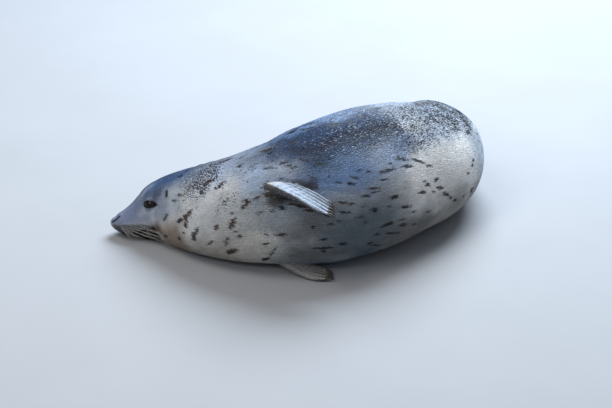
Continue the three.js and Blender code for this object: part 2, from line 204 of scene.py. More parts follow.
class Place:
    """A place on the coat with its outward, forward (nosewards) and upward directions."""

    def __init__(self, s, phi, depth=0.0):
        self.s, self.phi = s, phi
        self.at = coat_point(s, phi, depth)
        along = coat_point(s + 1, phi) - coat_point(s - 1, phi)
        round_ = coat_point(s, phi + 1) - coat_point(s, phi - 1)
        self.out = unit(np.cross(round_, along))
        forward = -along
        self.forward = unit(forward - self.out * (forward @ self.out))
        up = frame_at(s)[3]
        across = np.cross(self.out, self.forward)
        self.up = across if across @ up > 0 else -across

    def local(self, points):
        q = points - self.at
        return q @ self.forward, q @ self.up, q @ self.out


def distance_to_line(points, line):
    """How far each point is from a bent line of points."""
    best = np.full(len(points), 1e9)
    for a, b in zip(line[:-1], line[1:]):
        ab = b - a
        t = np.clip(((points - a) @ ab) / max(ab @ ab, 1e-9), 0, 1)
        best = np.minimum(best, np.linalg.norm(points - a - t[:, None] * ab, axis=1))
    return best


def lattice_noise(points, size, seed):
    """Smooth noise from -1 to 1 in space, with features of about size."""
    q = points / size + 57.3
    cell = np.floor(q).astype(np.int64)
    f = q - cell
    f = f * f * (3 - 2 * f)
    total = 0
    for dx in (0, 1):
        for dy in (0, 1):
            for dz in (0, 1):
                mixed = ((cell[:, 0] + dx) * 73856093 ^ (cell[:, 1] + dy) * 19349663
                         ^ (cell[:, 2] + dz) * 83492791 ^ seed * 2654435761)
                value = (mixed * 1103515245 + 12345 & 0x7FFFFFFF) % 10007 / 5003.5 - 1
                weight = ((f[:, 0] if dx else 1 - f[:, 0]) * (f[:, 1] if dy else 1 - f[:, 1])
                          * (f[:, 2] if dz else 1 - f[:, 2]))
                total = total + value * weight
    return total


# ---------------------------------------------------------------- features of the skin


class Socket:
    """An eyeball's middle, the way the opening faces, and the opening's long and high ways."""

    def __init__(self, phi):
        place = Place(EYE_S, phi)
        self.middle = place.at - place.out * (EYE_RADIUS - EYE_PROUD)
        self.gaze = unit(place.out * GAZE[0] + place.forward * GAZE[1] + place.up * GAZE[2])
        front = unit(place.forward - self.gaze * (place.forward @ self.gaze))
        up = unit(place.up - self.gaze * (place.up @ self.gaze) - front * (place.up @ front))
        self.long = front * math.cos(LID_TILT * DEG) + up * math.sin(LID_TILT * DEG)
        self.high = up * math.cos(LID_TILT * DEG) - front * math.sin(LID_TILT * DEG)

    def local(self, points):
        """Millimetres along and across the opening, out of it, and the ball's own height there."""
        q = points - self.middle
        a, b, h = q @ self.long, q @ self.high, q @ self.gaze
        ball = np.sqrt(np.maximum(EYE_RADIUS ** 2 - a ** 2 - b ** 2, 0))
        return a, b, h, ball

    def outside(self, a, b):
        """How far a point is outside the lids, in millimetres; less than nothing between them."""
        upper = np.sqrt(np.abs(a / LID_LONG) ** 3.2 + (b / LID_UP) ** 2)
        lower = np.sqrt(np.abs(a / LID_LONG) ** 2.0 + (b / LID_DOWN) ** 2)
        share = np.maximum(np.where(b > 0, upper, lower), 1e-3)
        return np.maximum(np.hypot(a, b), 0.3) * (1 - 1 / share)


EYES = [Socket(EYE_PHI), Socket(360 - EYE_PHI)]
EARS = [Place(EAR_S, EAR_PHI, EAR_SUNK), Place(EAR_S, 360 - EAR_PHI, EAR_SUNK)]


def both_sides(line):
    """A line of places and its mirror image, just under the coat, as points."""
    return [np.array([coat_point(s, phi, 0.5) for s, phi in line]),
            np.array([coat_point(s, 360 - phi, 0.5) for s, phi in line])]


mouth_drop = track(MOUTH_DROP)


def mouth_side(s):
    """The angle from the back at which the lips meet."""
    return 180 - np.degrees(np.arccos(np.minimum(mouth_drop(s) / belly(s), 1)))


MOUTH = both_sides([(s, mouth_side(s)) for s in np.linspace(MOUTH_FRONT, MOUTH_CORNER, 16)])
NOSTRILS = both_sides(NOSTRIL)
LIP_CLEFT = [np.array([coat_point(s, phi, 0.3) for s, phi in [(0.5, 180), (4, 180), (11, 180)]])]
# lines, depth and half width of a groove, then height, distance and half width of its lip
GROOVES = [(MOUTH, 3.2, 1.5, 0.9, 4.5, 2.2), (NOSTRILS, 4.5, 1.8, 0.8, 4.2, 1.8),
           (LIP_CLEFT, 1.0, 1.2, 0.0, 1.0, 1.0)]
ARMPIT = [np.array([coat_point(s, phi, 2) for s, phi in line]) for line in
          ([(512, 131), (548, 136), (596, 145)], [(505, 125), (535, 128), (572, 133)])]
# s, phi, reach along s, spread round phi, height
NAPE_FOLDS = [(236, 330, 7, 60, -2.2), (262, 322, 8, 55, -2.6), (296, 318, 9, 50, -2.4),
              (250, 326, 6, 60, 1.4), (280, 320, 7, 55, 1.4)]


def ear_gap(ear, points):
    """How far points are from the slit of an ear, and very far on the other side of the head."""
    a, b, high = ear.local(points)
    return np.hypot(a, np.maximum(np.abs(b) - EAR_HALF, 0)) + 99 * (high < -30)


def folds(s, phi):
    """The height of slack skin along the body and of the rings round the nape."""
    wave = (1.6 * np.sin(s / 61 + 1.3 * np.sin(phi * DEG)) * np.sin(phi * DEG * 2 + s / 150)
            + 1.1 * np.sin(s / 31 + 3 * np.sin(phi * DEG + 1))) * smooth(260, 460, s)
    extra = wave * smooth(1340, 1150, s)
    turned = phi % 360
    for at, angle, reach, spread, high in NAPE_FOLDS:
        bend = at + 6 * np.sin((turned - angle) * DEG * 2)
        far = (turned - angle + 180) % 360 - 180
        extra = extra + high * np.exp(-((s - bend) / reach) ** 2 - (far / spread) ** 2)
    return extra


def carve_face(points, out):
    """Sinks the mouth, the nostrils, the cleft of the lip and the ears into the head."""
    sink = np.zeros(len(points))
    for lines, deep, wide, lip, lip_at, lip_wide in GROOVES:
        for line in lines:
            d = distance_to_line(points, line)
            sink += deep * np.exp(-(d / wide) ** 2) - lip * np.exp(-((d - lip_at) / lip_wide) ** 2)
    for ear in EARS:
        d = ear_gap(ear, points)
        sink += 8.0 * np.exp(-(d / 2.8) ** 2) - 1.4 * np.exp(-((d - 6.5) / 2.6) ** 2)
    return points - out * sink[:, None]


def open_lids(points, eye):
    """Lays the skin over an eyeball with rimmed, creased lids, and opens it between them."""
    a, b, h, ball = eye.local(points)
    gap = eye.outside(a, b)
    near = (h > 0) & (np.hypot(a, b) < 60)
    beyond = np.maximum(gap, 0)
    reach = np.where(a < 0, 9, 6.5)
    lid = np.maximum(ball, 5) + 1.3 + 0.7 * np.exp(-((beyond - 1.8) / 1.3) ** 2)
    moved = h + (lid - h) * np.exp(-(beyond / reach) ** 2)
    cover = np.where(ball > 0, ball + 0.9, -50)
    moved = 0.5 * (moved + cover + np.hypot(moved - cover, 1.5))
    crease = np.exp(-((gap - 5.5) / 1.3) ** 2) * smooth(2, 8, b) * smooth(20, 12, np.abs(a))
    moved = moved - 0.9 * crease
    moved = np.where(gap < -0.5, ball - 2.0, np.where(gap < 0, ball + 0.4, moved))
    return np.where(near[:, None], points + eye.gaze * (moved - h)[:, None], points)


def shape_trunk(s, phi):
    """The skin of the trunk at arrays of places, in millimetres."""
    end = np.clip(s, 0, LENGTH)
    points = coat_point(end, phi, coat_depth(end), folds(s, phi))
    middle, tail = frame_at(end)[:2]
    # the round ends, where s runs on past the first and last section
    for over, way, bulge in ((np.clip(-s, 0, 1), -1, NOSE_BULGE),
                             (np.clip(s - LENGTH, 0, 1), 1, REAR_BULGE)):
        share = np.sqrt(1 - over ** 2)[:, None]
        core = middle.copy()
        core[:, 2] = np.maximum(core[:, 2], 0)
        points = np.where(over[:, None] > 0,
                          core + (points - core) * share + tail * way * bulge * over[:, None], points)
    out = unit(points - middle + 1e-9)
    head = s < HEAD_END
    carved = carve_face(points[head], out[head])
    for eye in EYES:
        carved = open_lids(carved, eye)
    points[head] = carved
    sides = (s > 490) & (s < 620)
    sink = sum(3.0 * np.exp(-(distance_to_line(points[sides], line) / 6) ** 2) for line in ARMPIT)
    points[sides] -= out[sides] * sink[:, None]
    points[:, 2] = np.maximum(points[:, 2], LOWEST)
    return points


# ---------------------------------------------------------------- limbs

class Limb:
    """A flipper on a bent path, or the tail: u runs from root to tip."""

    def __init__(self, name, shape, root, bend, tip, face, front):
        self.name, self.shape = name, shape
        self.knots = [np.array(v, float) for v in (root, bend, tip)]
        self.face, self.front = np.array(face, float), np.array(front, float)
        self.width, self.thick = track(shape["width"]), track(shape["thick"])
        t = np.linspace(0, 1, 201)
        self.size = np.linalg.norm(np.diff(self.path(t), axis=0), axis=1).sum()

    def path(self, u):
        u = np.asarray(u, float)[..., None]
        a, b, c = self.knots
        return a * (1 - u) ** 2 + 2 * b * u * (1 - u) + c * u * u

    def axes(self, u):
        u = np.asarray(u, float)[..., None]
        a, b, c = self.knots
        length = unit(2 * (b - a) * (1 - u) + 2 * (c - b) * u)
        face = unit(self.face - length * (length @ self.face)[..., None])
        front = unit(np.cross(face, length))
        flip = np.where((front @ self.front) < 0, -1.0, 1.0)
        return length, face, front * flip[..., None]

    def point(self, u, x, y, grow=0.0):
        shape = self.shape
        inner = np.minimum(u, 1)
        wave = np.cos(math.pi * DIGITS * (x + 1 - 1 / DIGITS))
        splay = smooth(0.35, 0.9, inner)
        further = inner ** 2 * (shape["slant"] * x + shape["scallop"] * wave
                                + shape["fork"] * (x * x - 0.5))
        ridged = 1 + shape["ridge"] * splay * 0.5 * (wave - 1) * (1 - 0.3 * x * x)
        length, face, front = self.axes(inner)
        tip = np.clip((u - 1) / 0.05, 0, 1)
        thin = np.sqrt(1 - tip ** 2)
        p = (self.path(inner) + length * (self.size * further + 3.0 * tip)[..., None]
             + face * (y * (self.thick(inner) * ridged + grow) * thin)[..., None]
             + front * (x * (self.width(inner) + grow) * (1 - 0.06 * tip))[..., None])
        return settle(p, PAW_SOFTNESS)


class TailFlap(Limb):
    """The short flat tail, without digits."""

    def __init__(self):
        middle, tail, left, up = frame_at(TAIL["root"])
        root = middle + up * TAIL["lift"]
        shape = dict(TAIL, ridge=0.0, scallop=0.0, slant=0.0, fork=0.0)
        super().__init__("tail", shape, root, root + tail * TAIL["size"] / 2,
                         root + tail * TAIL["size"], up, left)


def hind(name, side, size, turn, sink):
    """A hind flipper: side is 1 for left, turn the way it points, sink how far its tip drops."""
    middle, tail, left, up = frame_at(HIND_ROOT_S)
    root = middle + left * side * HIND_APART - up * HIND_DOWN
    tip = root + np.array([size * math.cos(turn * DEG), size * math.sin(turn * DEG), -sink])
    return Limb(name, HIND_SHAPE, root, root + tail * size / 3, tip, left * side, up)


LIMBS = [
    Limb("fore_flipper_left", FORE_SHAPE, (398, -178, 218), (450, -280, 276), (549, -312, 226),
         (0.12, -0.1, 1), (-1, -1, 0)),
    Limb("fore_flipper_right", FORE_SHAPE, (408, -120, 46), (468, -216, 6), (546, -238, 6),
         (0, 0, 1), (-1, -1, 0)),
    hind("hind_flipper_left", 1, 244, 167, 14),
    hind("hind_flipper_right", -1, 238, 162, 15),
    TailFlap(),
]


def squared(v):
    """Rounds a section less, so that a flipper's edge is fuller than an oval's."""
    return np.sign(v) * np.abs(v) ** 0.72


def shape_limb(limb, u, angle):
    """The skin of a limb at arrays of places: u along it, angle round it."""
    tail = limb.name == "tail"
    bend = (lambda v: v) if tail else squared
    x, y = bend(np.cos(angle * DEG)), bend(np.sin(angle * DEG))
    p = limb.point(u, x, y, -LIMB_COAT)
    wrinkle = 0.5 * np.sin(u * 70 + 2.2 * np.sin(x * 3)) * smooth(0.85, 0.4, u) * smooth(0.15, 0.3, u)
    if not tail:
        _, face, _ = limb.axes(np.minimum(u, 1))
        p = p + face * (wrinkle * np.sign(y))[:, None]
    p[:, 2] = np.maximum(p[:, 2], LOWEST)
    return p


# ---------------------------------------------------------------- one skin

UV_NAME = "OFBake"
# the trunk lies in the lower part of the unwrap and the limbs stand side by side above it
TRUNK_SHARE, LIMB_TOP, LIMB_GAP, LIMB_COLUMN = 0.70, 0.98, 0.01, 0.2
MARGIN = 0.004
SEAM = 225
TIP_U, TIP_ROW = 1.05, 0.952  # how far a limb's u runs on round its tip, and from which row
# share of the unwrap's width that each stretch of the trunk takes
ROWS_AT = [(-1, 0.0), (0, 0.006), (30, 0.085), (200, 0.36), (340, 0.46), (LENGTH, 0.992),
           (LENGTH + 1, 1.0)]
TRUNK_ROWS, TRUNK_COLUMNS = 292, 196
LIMB_ROWS, LIMB_COLUMNS = 52, 64


def place_piece(name, mesh):
    piece = bpy.data.objects.new(name, mesh)
    bpy.context.scene.collection.objects.link(piece)
    return piece


def finish_mesh(name, bm):
    """Turns a bmesh in millimetres from the nose into a smooth piece in metres."""
    mesh = bpy.data.meshes.new(name)
    bm.to_mesh(mesh)
    bm.free()
    mesh.transform(Matrix.Scale(MM, 4) @ Matrix.Translation(Vector(NOSE)))
    mesh.polygons.foreach_set("use_smooth", [True] * len(mesh.polygons))
    return place_piece(name, mesh)


def sheet_of_places(rows, columns, row_at, column_at, refine=()):
    """A flat grid whose points hold two places in x and y; refine holds rounds of ovals."""
    bm = bmesh.new()
    bmesh.ops.create_grid(bm, x_segments=rows, y_segments=columns, size=0.5)
    for v in bm.verts:
        v.co = Vector((float(row_at(v.co.x + 0.5)), column_at(v.co.y + 0.5), 0))
    for ovals in refine:
        bm.verts.index_update()
        at = np.array([v.co[:2] for v in bm.verts])
        inside = np.zeros(len(at), bool)
        for x, y, rx, ry in ovals:
            inside |= ((at[:, 0] - x) / rx) ** 2 + ((at[:, 1] - y) / ry) ** 2 < 1
        edges = [e for e in bm.edges if inside[e.verts[0].index] and inside[e.verts[1].index]]
        bmesh.ops.subdivide_edges(bm, edges=edges, cuts=1, use_grid_fill=True)
    wide = [f for f in bm.faces if len(f.verts) > 4]
    bmesh.ops.triangulate(bm, faces=wide)
    return bm


def fold_up(bm, shape, unwrap):
    """Gives each corner its place on the unwrap, then moves the points to the body and closes it."""
    bm.verts.ensure_lookup_table()
    bm.verts.index_update()
    places = np.array([v.co[:2] for v in bm.verts])
    flat = unwrap(places[:, 0], places[:, 1])
    layer = bm.loops.layers.uv.new(UV_NAME)
    for face in bm.faces:
        for loop in face.loops:
            loop[layer].uv = flat[loop.vert.index]
    points = shape(places[:, 0], places[:, 1])
    for v, p in zip(bm.verts, points):
        v.co = p
    border = [v for v in bm.verts if v.is_boundary]
    bmesh.ops.remove_doubles(bm, verts=border, dist=0.01)
    bmesh.ops.recalc_face_normals(bm, faces=bm.faces)


row_table = np.linspace(-1, LENGTH + 1, 6001)
row_values = np.interp(row_table, *zip(*ROWS_AT))


def trunk_row(share):
    """The s at a share of the unwrap's width."""
    return np.interp(share, row_values, row_table)


def limb_row(share):
    """Spaces a limb's rows evenly, with the last ones on its round tip."""
    return TIP_U * share if share < TIP_ROW else 1 + (TIP_U - 1) * (share - TIP_ROW) / (1 - TIP_ROW)


def trunk_unwrap(s, phi):
    return np.stack([MARGIN + (1 - 2 * MARGIN) * np.interp(s, row_table, row_values),
                     MARGIN + (TRUNK_SHARE - 2 * MARGIN) * (phi - SEAM) / 360], -1)


def limb_unwrap(index):
    def unwrap(u, angle):
        return np.stack([LIMB_COLUMN * index + MARGIN + (LIMB_COLUMN - 2 * MARGIN) * angle / 360,
                         TRUNK_SHARE + LIMB_GAP + (LIMB_TOP - TRUNK_SHARE) * u / TIP_U], -1)
    return unwrap


def places_on_body(flat, which):
    """Back from the unwrap to the body: s and phi on the trunk, u and angle on a limb."""
    s = np.interp((flat[:, 0] - MARGIN) / (1 - 2 * MARGIN), row_values, row_table)
    phi = (SEAM + 360 * (flat[:, 1] - MARGIN) / (TRUNK_SHARE - 2 * MARGIN)) % 360
    u = (flat[:, 1] - TRUNK_SHARE - LIMB_GAP) / (LIMB_TOP - TRUNK_SHARE) * TIP_U
    angle = (flat[:, 0] - LIMB_COLUMN * which - MARGIN) / (LIMB_COLUMN - 2 * MARGIN) * 360
    return s, phi, u, angle % 360


# s, phi, length, width, turn from the spine's way, and tint: 0 black, 1 brown, 2 grey
SPOTS = [
    (170, 129, 10, 8, 7, 0), (194, 102, 23, 5, 25, 1), (232, 137, 13, 6, 32, 0),
    (246, 82, 13, 6, -41, 2), (250, 115, 20, 9, 5, 0), (256, 132, 8, 5, 10, 2),
    (268, 124, 13, 12, -68, 0), (270, 116, 21, 11, 89, 1), (282, 113, 25, 8, 19, 1),
    (286, 142, 24, 10, 47, 0), (298, 137, 21, 6, 32, 0), (316, 97, 10, 9, 20, 2),
    (326, 158, 20, 6, 18, 0), (352, 142, 17, 7, 25, 1), (362, 100, 28, 9, 8, 0),
    (364, 164, 13, 5, 24, 2), (366, 178, 37, 16, 9, 1), (368, 160, 15, 4, 25, 2),
    (378, 122, 16, 4, 47, 2), (386, 146, 30, 14, 26, 1), (388, 136, 6, 4, -66, 2),
    (388, 156, 11, 3, -2, 2), (394, 162, 11, 7, 14, 0), (404, 90, 12, 8, -5, 2),
    (416, 135, 27, 7, 17, 1), (418, 132, 16, 7, -40, 0), (422, 204, 27, 13, 26, 0),
    (436, 132, 13, 4, 7, 1), (436, 146, 15, 3, 18, 2), (436, 179, 17, 5, 2, 2),
    (440, 168, 8, 4, -5, 2), (442, 192, 37, 4, 53, 2), (450, 124, 10, 5, 31, 2),
    (454, 121, 14, 4, 36, 2), (454, 132, 20, 9, -13, 1), (456, 146, 8, 4, 2, 1),
    (462, 106, 24, 4, -13, 2), (464, 169, 26, 8, 4, 1), (474, 145, 15, 6, -34, 0),
    (480, 119, 9, 4, -6, 0), (490, 104, 20, 6, -3, 2), (490, 142, 17, 5, -11, 1),
    (500, 109, 20, 4, -22, 2), (504, 145, 34, 6, -14, 1), (512, 164, 7, 7, 0, 0),
    (514, 150, 22, 5, -18, 1), (522, 106, 20, 6, -28, 2), (524, 188, 45, 6, -5, 0),
    (524, 192, 10, 10, -10, 0), (526, 178, 14, 6, 3, 0), (528, 123, 7, 4, -25, 2),
    (538, 164, 12, 4, -5, 2), (542, 113, 24, 7, -14, 2), (550, 125, 7, 4, -24, 2),
    (550, 162, 10, 5, -12, 2), (554, 186, 20, 7, -9, 0), (556, 188, 14, 4, -15, 2),
    (560, 148, 18, 5, -13, 1), (560, 156, 21, 5, -16, 0), (564, 132, 10, 4, -21, 2),
    (574, 151, 13, 4, -14, 0), (582, 135, 13, 4, -21, 0), (586, 164, 14, 5, -15, 2),
    (590, 131, 16, 5, -30, 2), (592, 156, 8, 3, -15, 0), (592, 170, 8, 5, -6, 2),
    (600, 148, 16, 5, -11, 0), (602, 127, 11, 4, -3, 2), (606, 194, 16, 7, -15, 0),
    (610, 161, 17, 10, -29, 0), (616, 130, 8, 4, -35, 2), (616, 144, 22, 4, -16, 1),
    (616, 147, 15, 4, -11, 2), (616, 185, 11, 7, 6, 0), (620, 200, 29, 5, -29, 0),
    (636, 178, 30, 8, 5, 0), (638, 140, 13, 4, -16, 0), (638, 162, 12, 3, -16, 2),
    (650, 134, 42, 8, -6, 2), (650, 156, 20, 9, -5, 0), (652, 190, 39, 6, -22, 0),
    (660, 130, 9, 4, -16, 2), (668, 178, 14, 4, -11, 2), (672, 167, 28, 6, -13, 0),
    (672, 184, 23, 7, -18, 0), (690, 130, 34, 8, -21, 2), (692, 136, 32, 8, -16, 2),
    (694, 174, 12, 4, -16, 2), (706, 188, 14, 6, -12, 0), (718, 160, 21, 7, -17, 1),
    (728, 134, 40, 6, -28, 2), (728, 206, 10, 9, -14, 2), (730, 152, 10, 4, -29, 1),
    (738, 156, 18, 7, -30, 1), (742, 180, 15, 4, -11, 2), (756, 141, 16, 5, -14, 1),
    (756, 164, 12, 4, -15, 1), (770, 154, 16, 8, 4, 1), (780, 162, 29, 7, -17, 1),
    (808, 171, 27, 10, -29, 1), (826, 177, 12, 5, -29, 0), (848, 182, 14, 6, -28, 0),
    (882, 182, 8, 8, 5, 2), (890, 160, 12, 7, 1, 0), (910, 156, 13, 7, 5, 0),
    (914, 182, 15, 15, 11, 0), (918, 152, 9, 6, -28, 0),
]


def strewn_spots():
    """Spots for the sides that the listed ones leave bare, thicker towards the back."""
    made = []
    while len(made) < 330:
        s = rng.uniform(225, 1290)
        phi = rng.uniform(0, 360)
        side = min(phi, 360 - phi)
        seen = 90 < phi < 212 and s < 935
        if seen or rng.random() > (0.95 if side < 90 else 0.45):
            continue
        length = rng.uniform(8, 30) * (0.6 if s < 330 else 1)
        made.append((s, phi, length, max(length * rng.uniform(0.22, 0.45), 4),
                     rng.normal(0, 18), int(rng.integers(0, 3))))
    return made


ALL_SPOTS = SPOTS + strewn_spots()

# ovals of the trunk where the grid is finer: the eyes, the ears and the narrow spots
first_round, second_round = [], []
for phi in (EYE_PHI + 360, 360 - EYE_PHI):
    first_round.append((EYE_S + 4, phi, 42, 27))
    second_round.append((EYE_S + 4, phi, 31, 19))
for phi in (EAR_PHI + 360, 360 - EAR_PHI):
    first_round.append((EAR_S, phi, 16, 9))
for s, phi, length, width, turn, _ in SPOTS:
    if width < 11:
        turned = phi if phi >= SEAM else phi + 360
        first_round.append((s, turned, length / 2 + 6, (width / 2 + 5) / (flank(s) * DEG)))

sheet = sheet_of_places(TRUNK_ROWS, TRUNK_COLUMNS, trunk_row, lambda y: SEAM + 360 * y,
                        (first_round, second_round))
fold_up(sheet, shape_trunk, trunk_unwrap)
skin = finish_mesh("skin", sheet)

limb_pieces = []
for index, limb in enumerate(LIMBS):
    sheet = sheet_of_places(LIMB_ROWS, LIMB_COLUMNS, limb_row, lambda y: 360 * y)
    fold_up(sheet, lambda u, a, limb=limb: shape_limb(limb, u, a), limb_unwrap(index))
    holes = [e for e in sheet.edges if e.is_boundary]
    bmesh.ops.holes_fill(sheet, edges=holes, sides=0)
    bmesh.ops.recalc_face_normals(sheet, faces=sheet.faces)
    limb_pieces.append(finish_mesh(limb.name + "_skin", sheet))

for piece in limb_pieces:
    union = skin.modifiers.new("union", "BOOLEAN")
    union.operation = "UNION"
    union.solver = "MANIFOLD"
    union.object = piece
    depsgraph = bpy.context.evaluated_depsgraph_get()
    joined = bpy.data.meshes.new_from_object(skin.evaluated_get(depsgraph))
    skin.modifiers.remove(union)
    skin.data = joined
for piece in limb_pieces:
    bpy.data.objects.remove(piece)
skin.data.name = "skin"


def corner_places(mesh):
    """Each point's place on the unwrap, its limb (-1 for the trunk), and whether it is on a join."""
    corner = np.empty(len(mesh.loops), np.int64)
    mesh.loops.foreach_get("vertex_index", corner)
    flat = np.empty(len(mesh.loops) * 2, np.float32)
    mesh.uv_layers[UV_NAME].uv.foreach_get("vector", flat)
    flat = flat.reshape(-1, 2)
    first = np.zeros(len(mesh.vertices), np.int64)
    first[corner[::-1]] = np.arange(len(corner))[::-1]
    low = np.full(len(mesh.vertices), 9.0)
    high = np.full(len(mesh.vertices), -9.0)
    np.minimum.at(low, corner, flat[:, 1])
    np.maximum.at(high, corner, flat[:, 1])
    split = TRUNK_SHARE + LIMB_GAP / 2
    mixed = (low < split) & (high > split)
    uv = flat[first]
    column = np.clip((uv[:, 0] / LIMB_COLUMN).astype(int), 0, len(LIMBS) - 1)
    island = np.where(uv[:, 1] < split, -1, column)
    return uv, island, mixed


def soften_joins(mesh, mixed):
    """Smooths the skin where a limb leaves the trunk."""
    bm = bmesh.new()
    bm.from_mesh(mesh)
    bm.verts.ensure_lookup_table()
    ring = {bm.verts[i] for i in np.nonzero(mixed)[0]}
    rings = [ring]
    seen = set(ring)
    for _ in range(5):
        ring = {e.other_vert(v) for v in ring for e in v.link_edges} - seen
        seen |= ring
        rings.append(ring)
    for reach in (5, 5, 4, 4, 3, 3, 2, 2, 1):
        near = [v for part in rings[:reach + 1] for v in part]
        bmesh.ops.smooth_vert(bm, verts=near, factor=0.5, use_axis_x=True, use_axis_y=True,
                              use_axis_z=True)
    bmesh.ops.triangulate(bm, faces=[f for f in bm.faces if len(f.verts) > 4])
    bm.to_mesh(mesh)
    bm.free()


uv, island, mixed = corner_places(skin.data)
soften_joins(skin.data, mixed)
uv, island, mixed = corner_places(skin.data)
count = len(skin.data.vertices)

points = np.empty(count * 3, np.float32)
skin.data.vertices.foreach_get("co", points)
points = points.reshape(-1, 3).astype(float) / MM - NOSE
out = np.empty(count * 3, np.float32)
skin.data.vertex_normals.foreach_get("vector", out)
out = out.reshape(-1, 3).astype(float)

place_s, place_phi, limb_u, limb_angle = places_on_body(uv, island)

# the way the coat lies: tailwards, sinking a little towards the belly
lie = np.zeros((count, 3))
_, tail, left, up = frame_at(np.clip(place_s, 0, LENGTH))
lie[:] = tail - up * 0.18 * smooth(60, 300, place_s)[:, None]
for index, limb in enumerate(LIMBS):
    here = island == index
    lie[here] = limb.axes(np.clip(limb_u[here], 0, 1))[0]
lie = unit(lie - out * (lie * out).sum(1)[:, None])

# ---------------------------------------------------------------- markings

PALE = (0.62, 0.61, 0.58)
# painted shade: the lower jaw and the whisker pad lie in shadow under the muzzle, so they are painted
# far darker than their fur; the third table gives, along s, the side where the pad's painted shade
# begins
JAW_SHADE = (0.012, 0.011, 0.011)
PAD_SHADE = (0.075, 0.075, 0.085)
WEB = (0.040, 0.032, 0.030)
PAD_SHADE_EDGE = [(10, 122), (22, 100), (34, 94), (64, 98), (92, 105), (118, 112)]
# from s, to s, from side, to side, softness along s and round, colour, strength; a side is the
# angle from the back, the same on both flanks, unless it runs on past the belly's middle
ZONES = [
    (-50, 1400, -50, 74, 60, 22, (0.17, 0.22, 0.31), 0.85),     # grey mantle, with a painted blue reflection of the sky
    (300, 470, 60, 106, 60, 14, (0.38, 0.46, 0.60), 0.72),      # silver nape, with a painted blue reflection of the sky
    (395, 500, 122, 168, 60, 20, (0.23, 0.26, 0.29), 0.82),     # grey chest: painted shade on the pale fur of the lower chest
    (405, 475, 98, 128, 34, 12, (0.34, 0.44, 0.60), 0.75),      # silver shoulder, with a painted blue reflection of the sky
    (440, 790, -50, 99, 100, 12, (0.010, 0.036, 0.105), 0.97),  # dark back
    (440, 690, -60, 70, 50, 6, (0.15, 0.23, 0.38), 0.75),       # painted highlight: the sky's reflection along the ridge of the back
    (452, 530, 84, 106, 24, 8, (0.050, 0.080, 0.150), 0.85),    # blue front of the back
    (508, 760, 88, 112, 24, 6, (0.012, 0.020, 0.048), 0.93),    # dark edge of the back
    (810, 1250, -50, 116, 110, 12, (0.20, 0.26, 0.35), 0.88),   # grey rump
    (935, 1300, -60, 124, 30, 10, (0.17, 0.205, 0.25), 0.88),   # far rump
    (480, 655, 112, 150, 60, 18, (0.075, 0.160, 0.33), 0.88),   # wet flank, darker for the wet, with a painted blue reflection of the sky
    (500, 640, 104, 124, 40, 8, (0.040, 0.085, 0.17), 0.80),    # dark top of the flank
    (485, 690, 150, 215, 75, 18, (0.088, 0.115, 0.140), 0.92),  # wet belly, darker for the wet and for painted shade underneath
    (682, 980, 130, 168, 28, 8, (0.76, 0.735, 0.71), 0.92),     # cream hip
    (770, 950, 114, 130, 40, 8, (0.38, 0.43, 0.51), 0.85),      # silver hip, with a painted blue reflection of the sky
    (650, 775, 108, 126, 50, 8, (0.105, 0.150, 0.25), 0.90),    # blue top of the hip
    (650, 715, 122, 134, 22, 8, (0.19, 0.27, 0.42), 0.80),      # blue front of the hip
    (935, 1300, 124, 176, 36, 12, (0.38, 0.44, 0.51), 0.80),    # pale rim of the rump
    (690, 1000, 179, 240, 80, 14, (0.19, 0.175, 0.16), 0.78),   # painted shade under the hip
    (640, 770, 183, 240, 40, 9, (0.11, 0.105, 0.10), 0.70),     # shaded groin
    (470, 530, 150, 178, 24, 12, (0.12, 0.115, 0.115), 0.65),   # painted shade on the lower belly
    (215, 1330, -60, 34, 60, 24, (0.060, 0.072, 0.095), 0.88),  # slate ridge of the back
    (225, 400, 98, 122, 40, 16, (0.66, 0.66, 0.66), 0.85),      # white neck
    (300, 400, 122, 145, 40, 16, (0.38, 0.41, 0.44), 0.75),     # side of the neck
    (230, 400, 150, 240, 50, 20, (0.38, 0.345, 0.30), 0.80),    # throat
    (360, 450, 168, 240, 40, 12, (0.62, 0.585, 0.53), 0.75),    # breast
    (186, 250, 74, 104, 20, 14, (0.36, 0.40, 0.45), 0.80),      # cheek
    (138, 200, 62, 106, 16, 12, (0.25, 0.285, 0.36), 0.88),     # blue grey round the eye
    (140, 250, 110, 180, 26, 14, (0.24, 0.175, 0.12), 0.85),    # tan under the cheek
    (130, 262, 168, 240, 40, 20, (0.10, 0.085, 0.07), 0.85),    # shaded throat
    (-10, 132, -10, 104, 30, 22, (0.18, 0.21, 0.305), 0.94),    # muzzle
    (120, 250, -10, 54, 20, 12, (0.045, 0.090, 0.190), 0.94),   # cap
    (100, 260, -60, 20, 30, 12, (0.070, 0.085, 0.115), 0.80),   # slate crown
    (-10, 100, -60, 14, 24, 14, (0.10, 0.115, 0.150), 0.55),    # slate bridge of the nose
    (104, 150, 26, 42, 16, 8, (0.30, 0.37, 0.50), 0.70),        # forehead: a painted highlight along its rim
    (146, 184, 48, 70, 12, 8, (0.065, 0.085, 0.145), 0.88),     # shade behind the eye
    (84, 122, 66, 88, 12, 10, (0.42, 0.45, 0.50), 0.55),        # pale ring below the eye
    (2, 28, 92, 150, 8, 12, (0.055, 0.055, 0.050), 0.90),       # upper lip
    (104, 160, 106, 124, 14, 8, (0.075, 0.046, 0.030), 0.85),   # corner of the mouth
    (446, 540, 126, 141, 14, 5, (0.030, 0.019, 0.013), 0.88),   # shade under the flipper
]
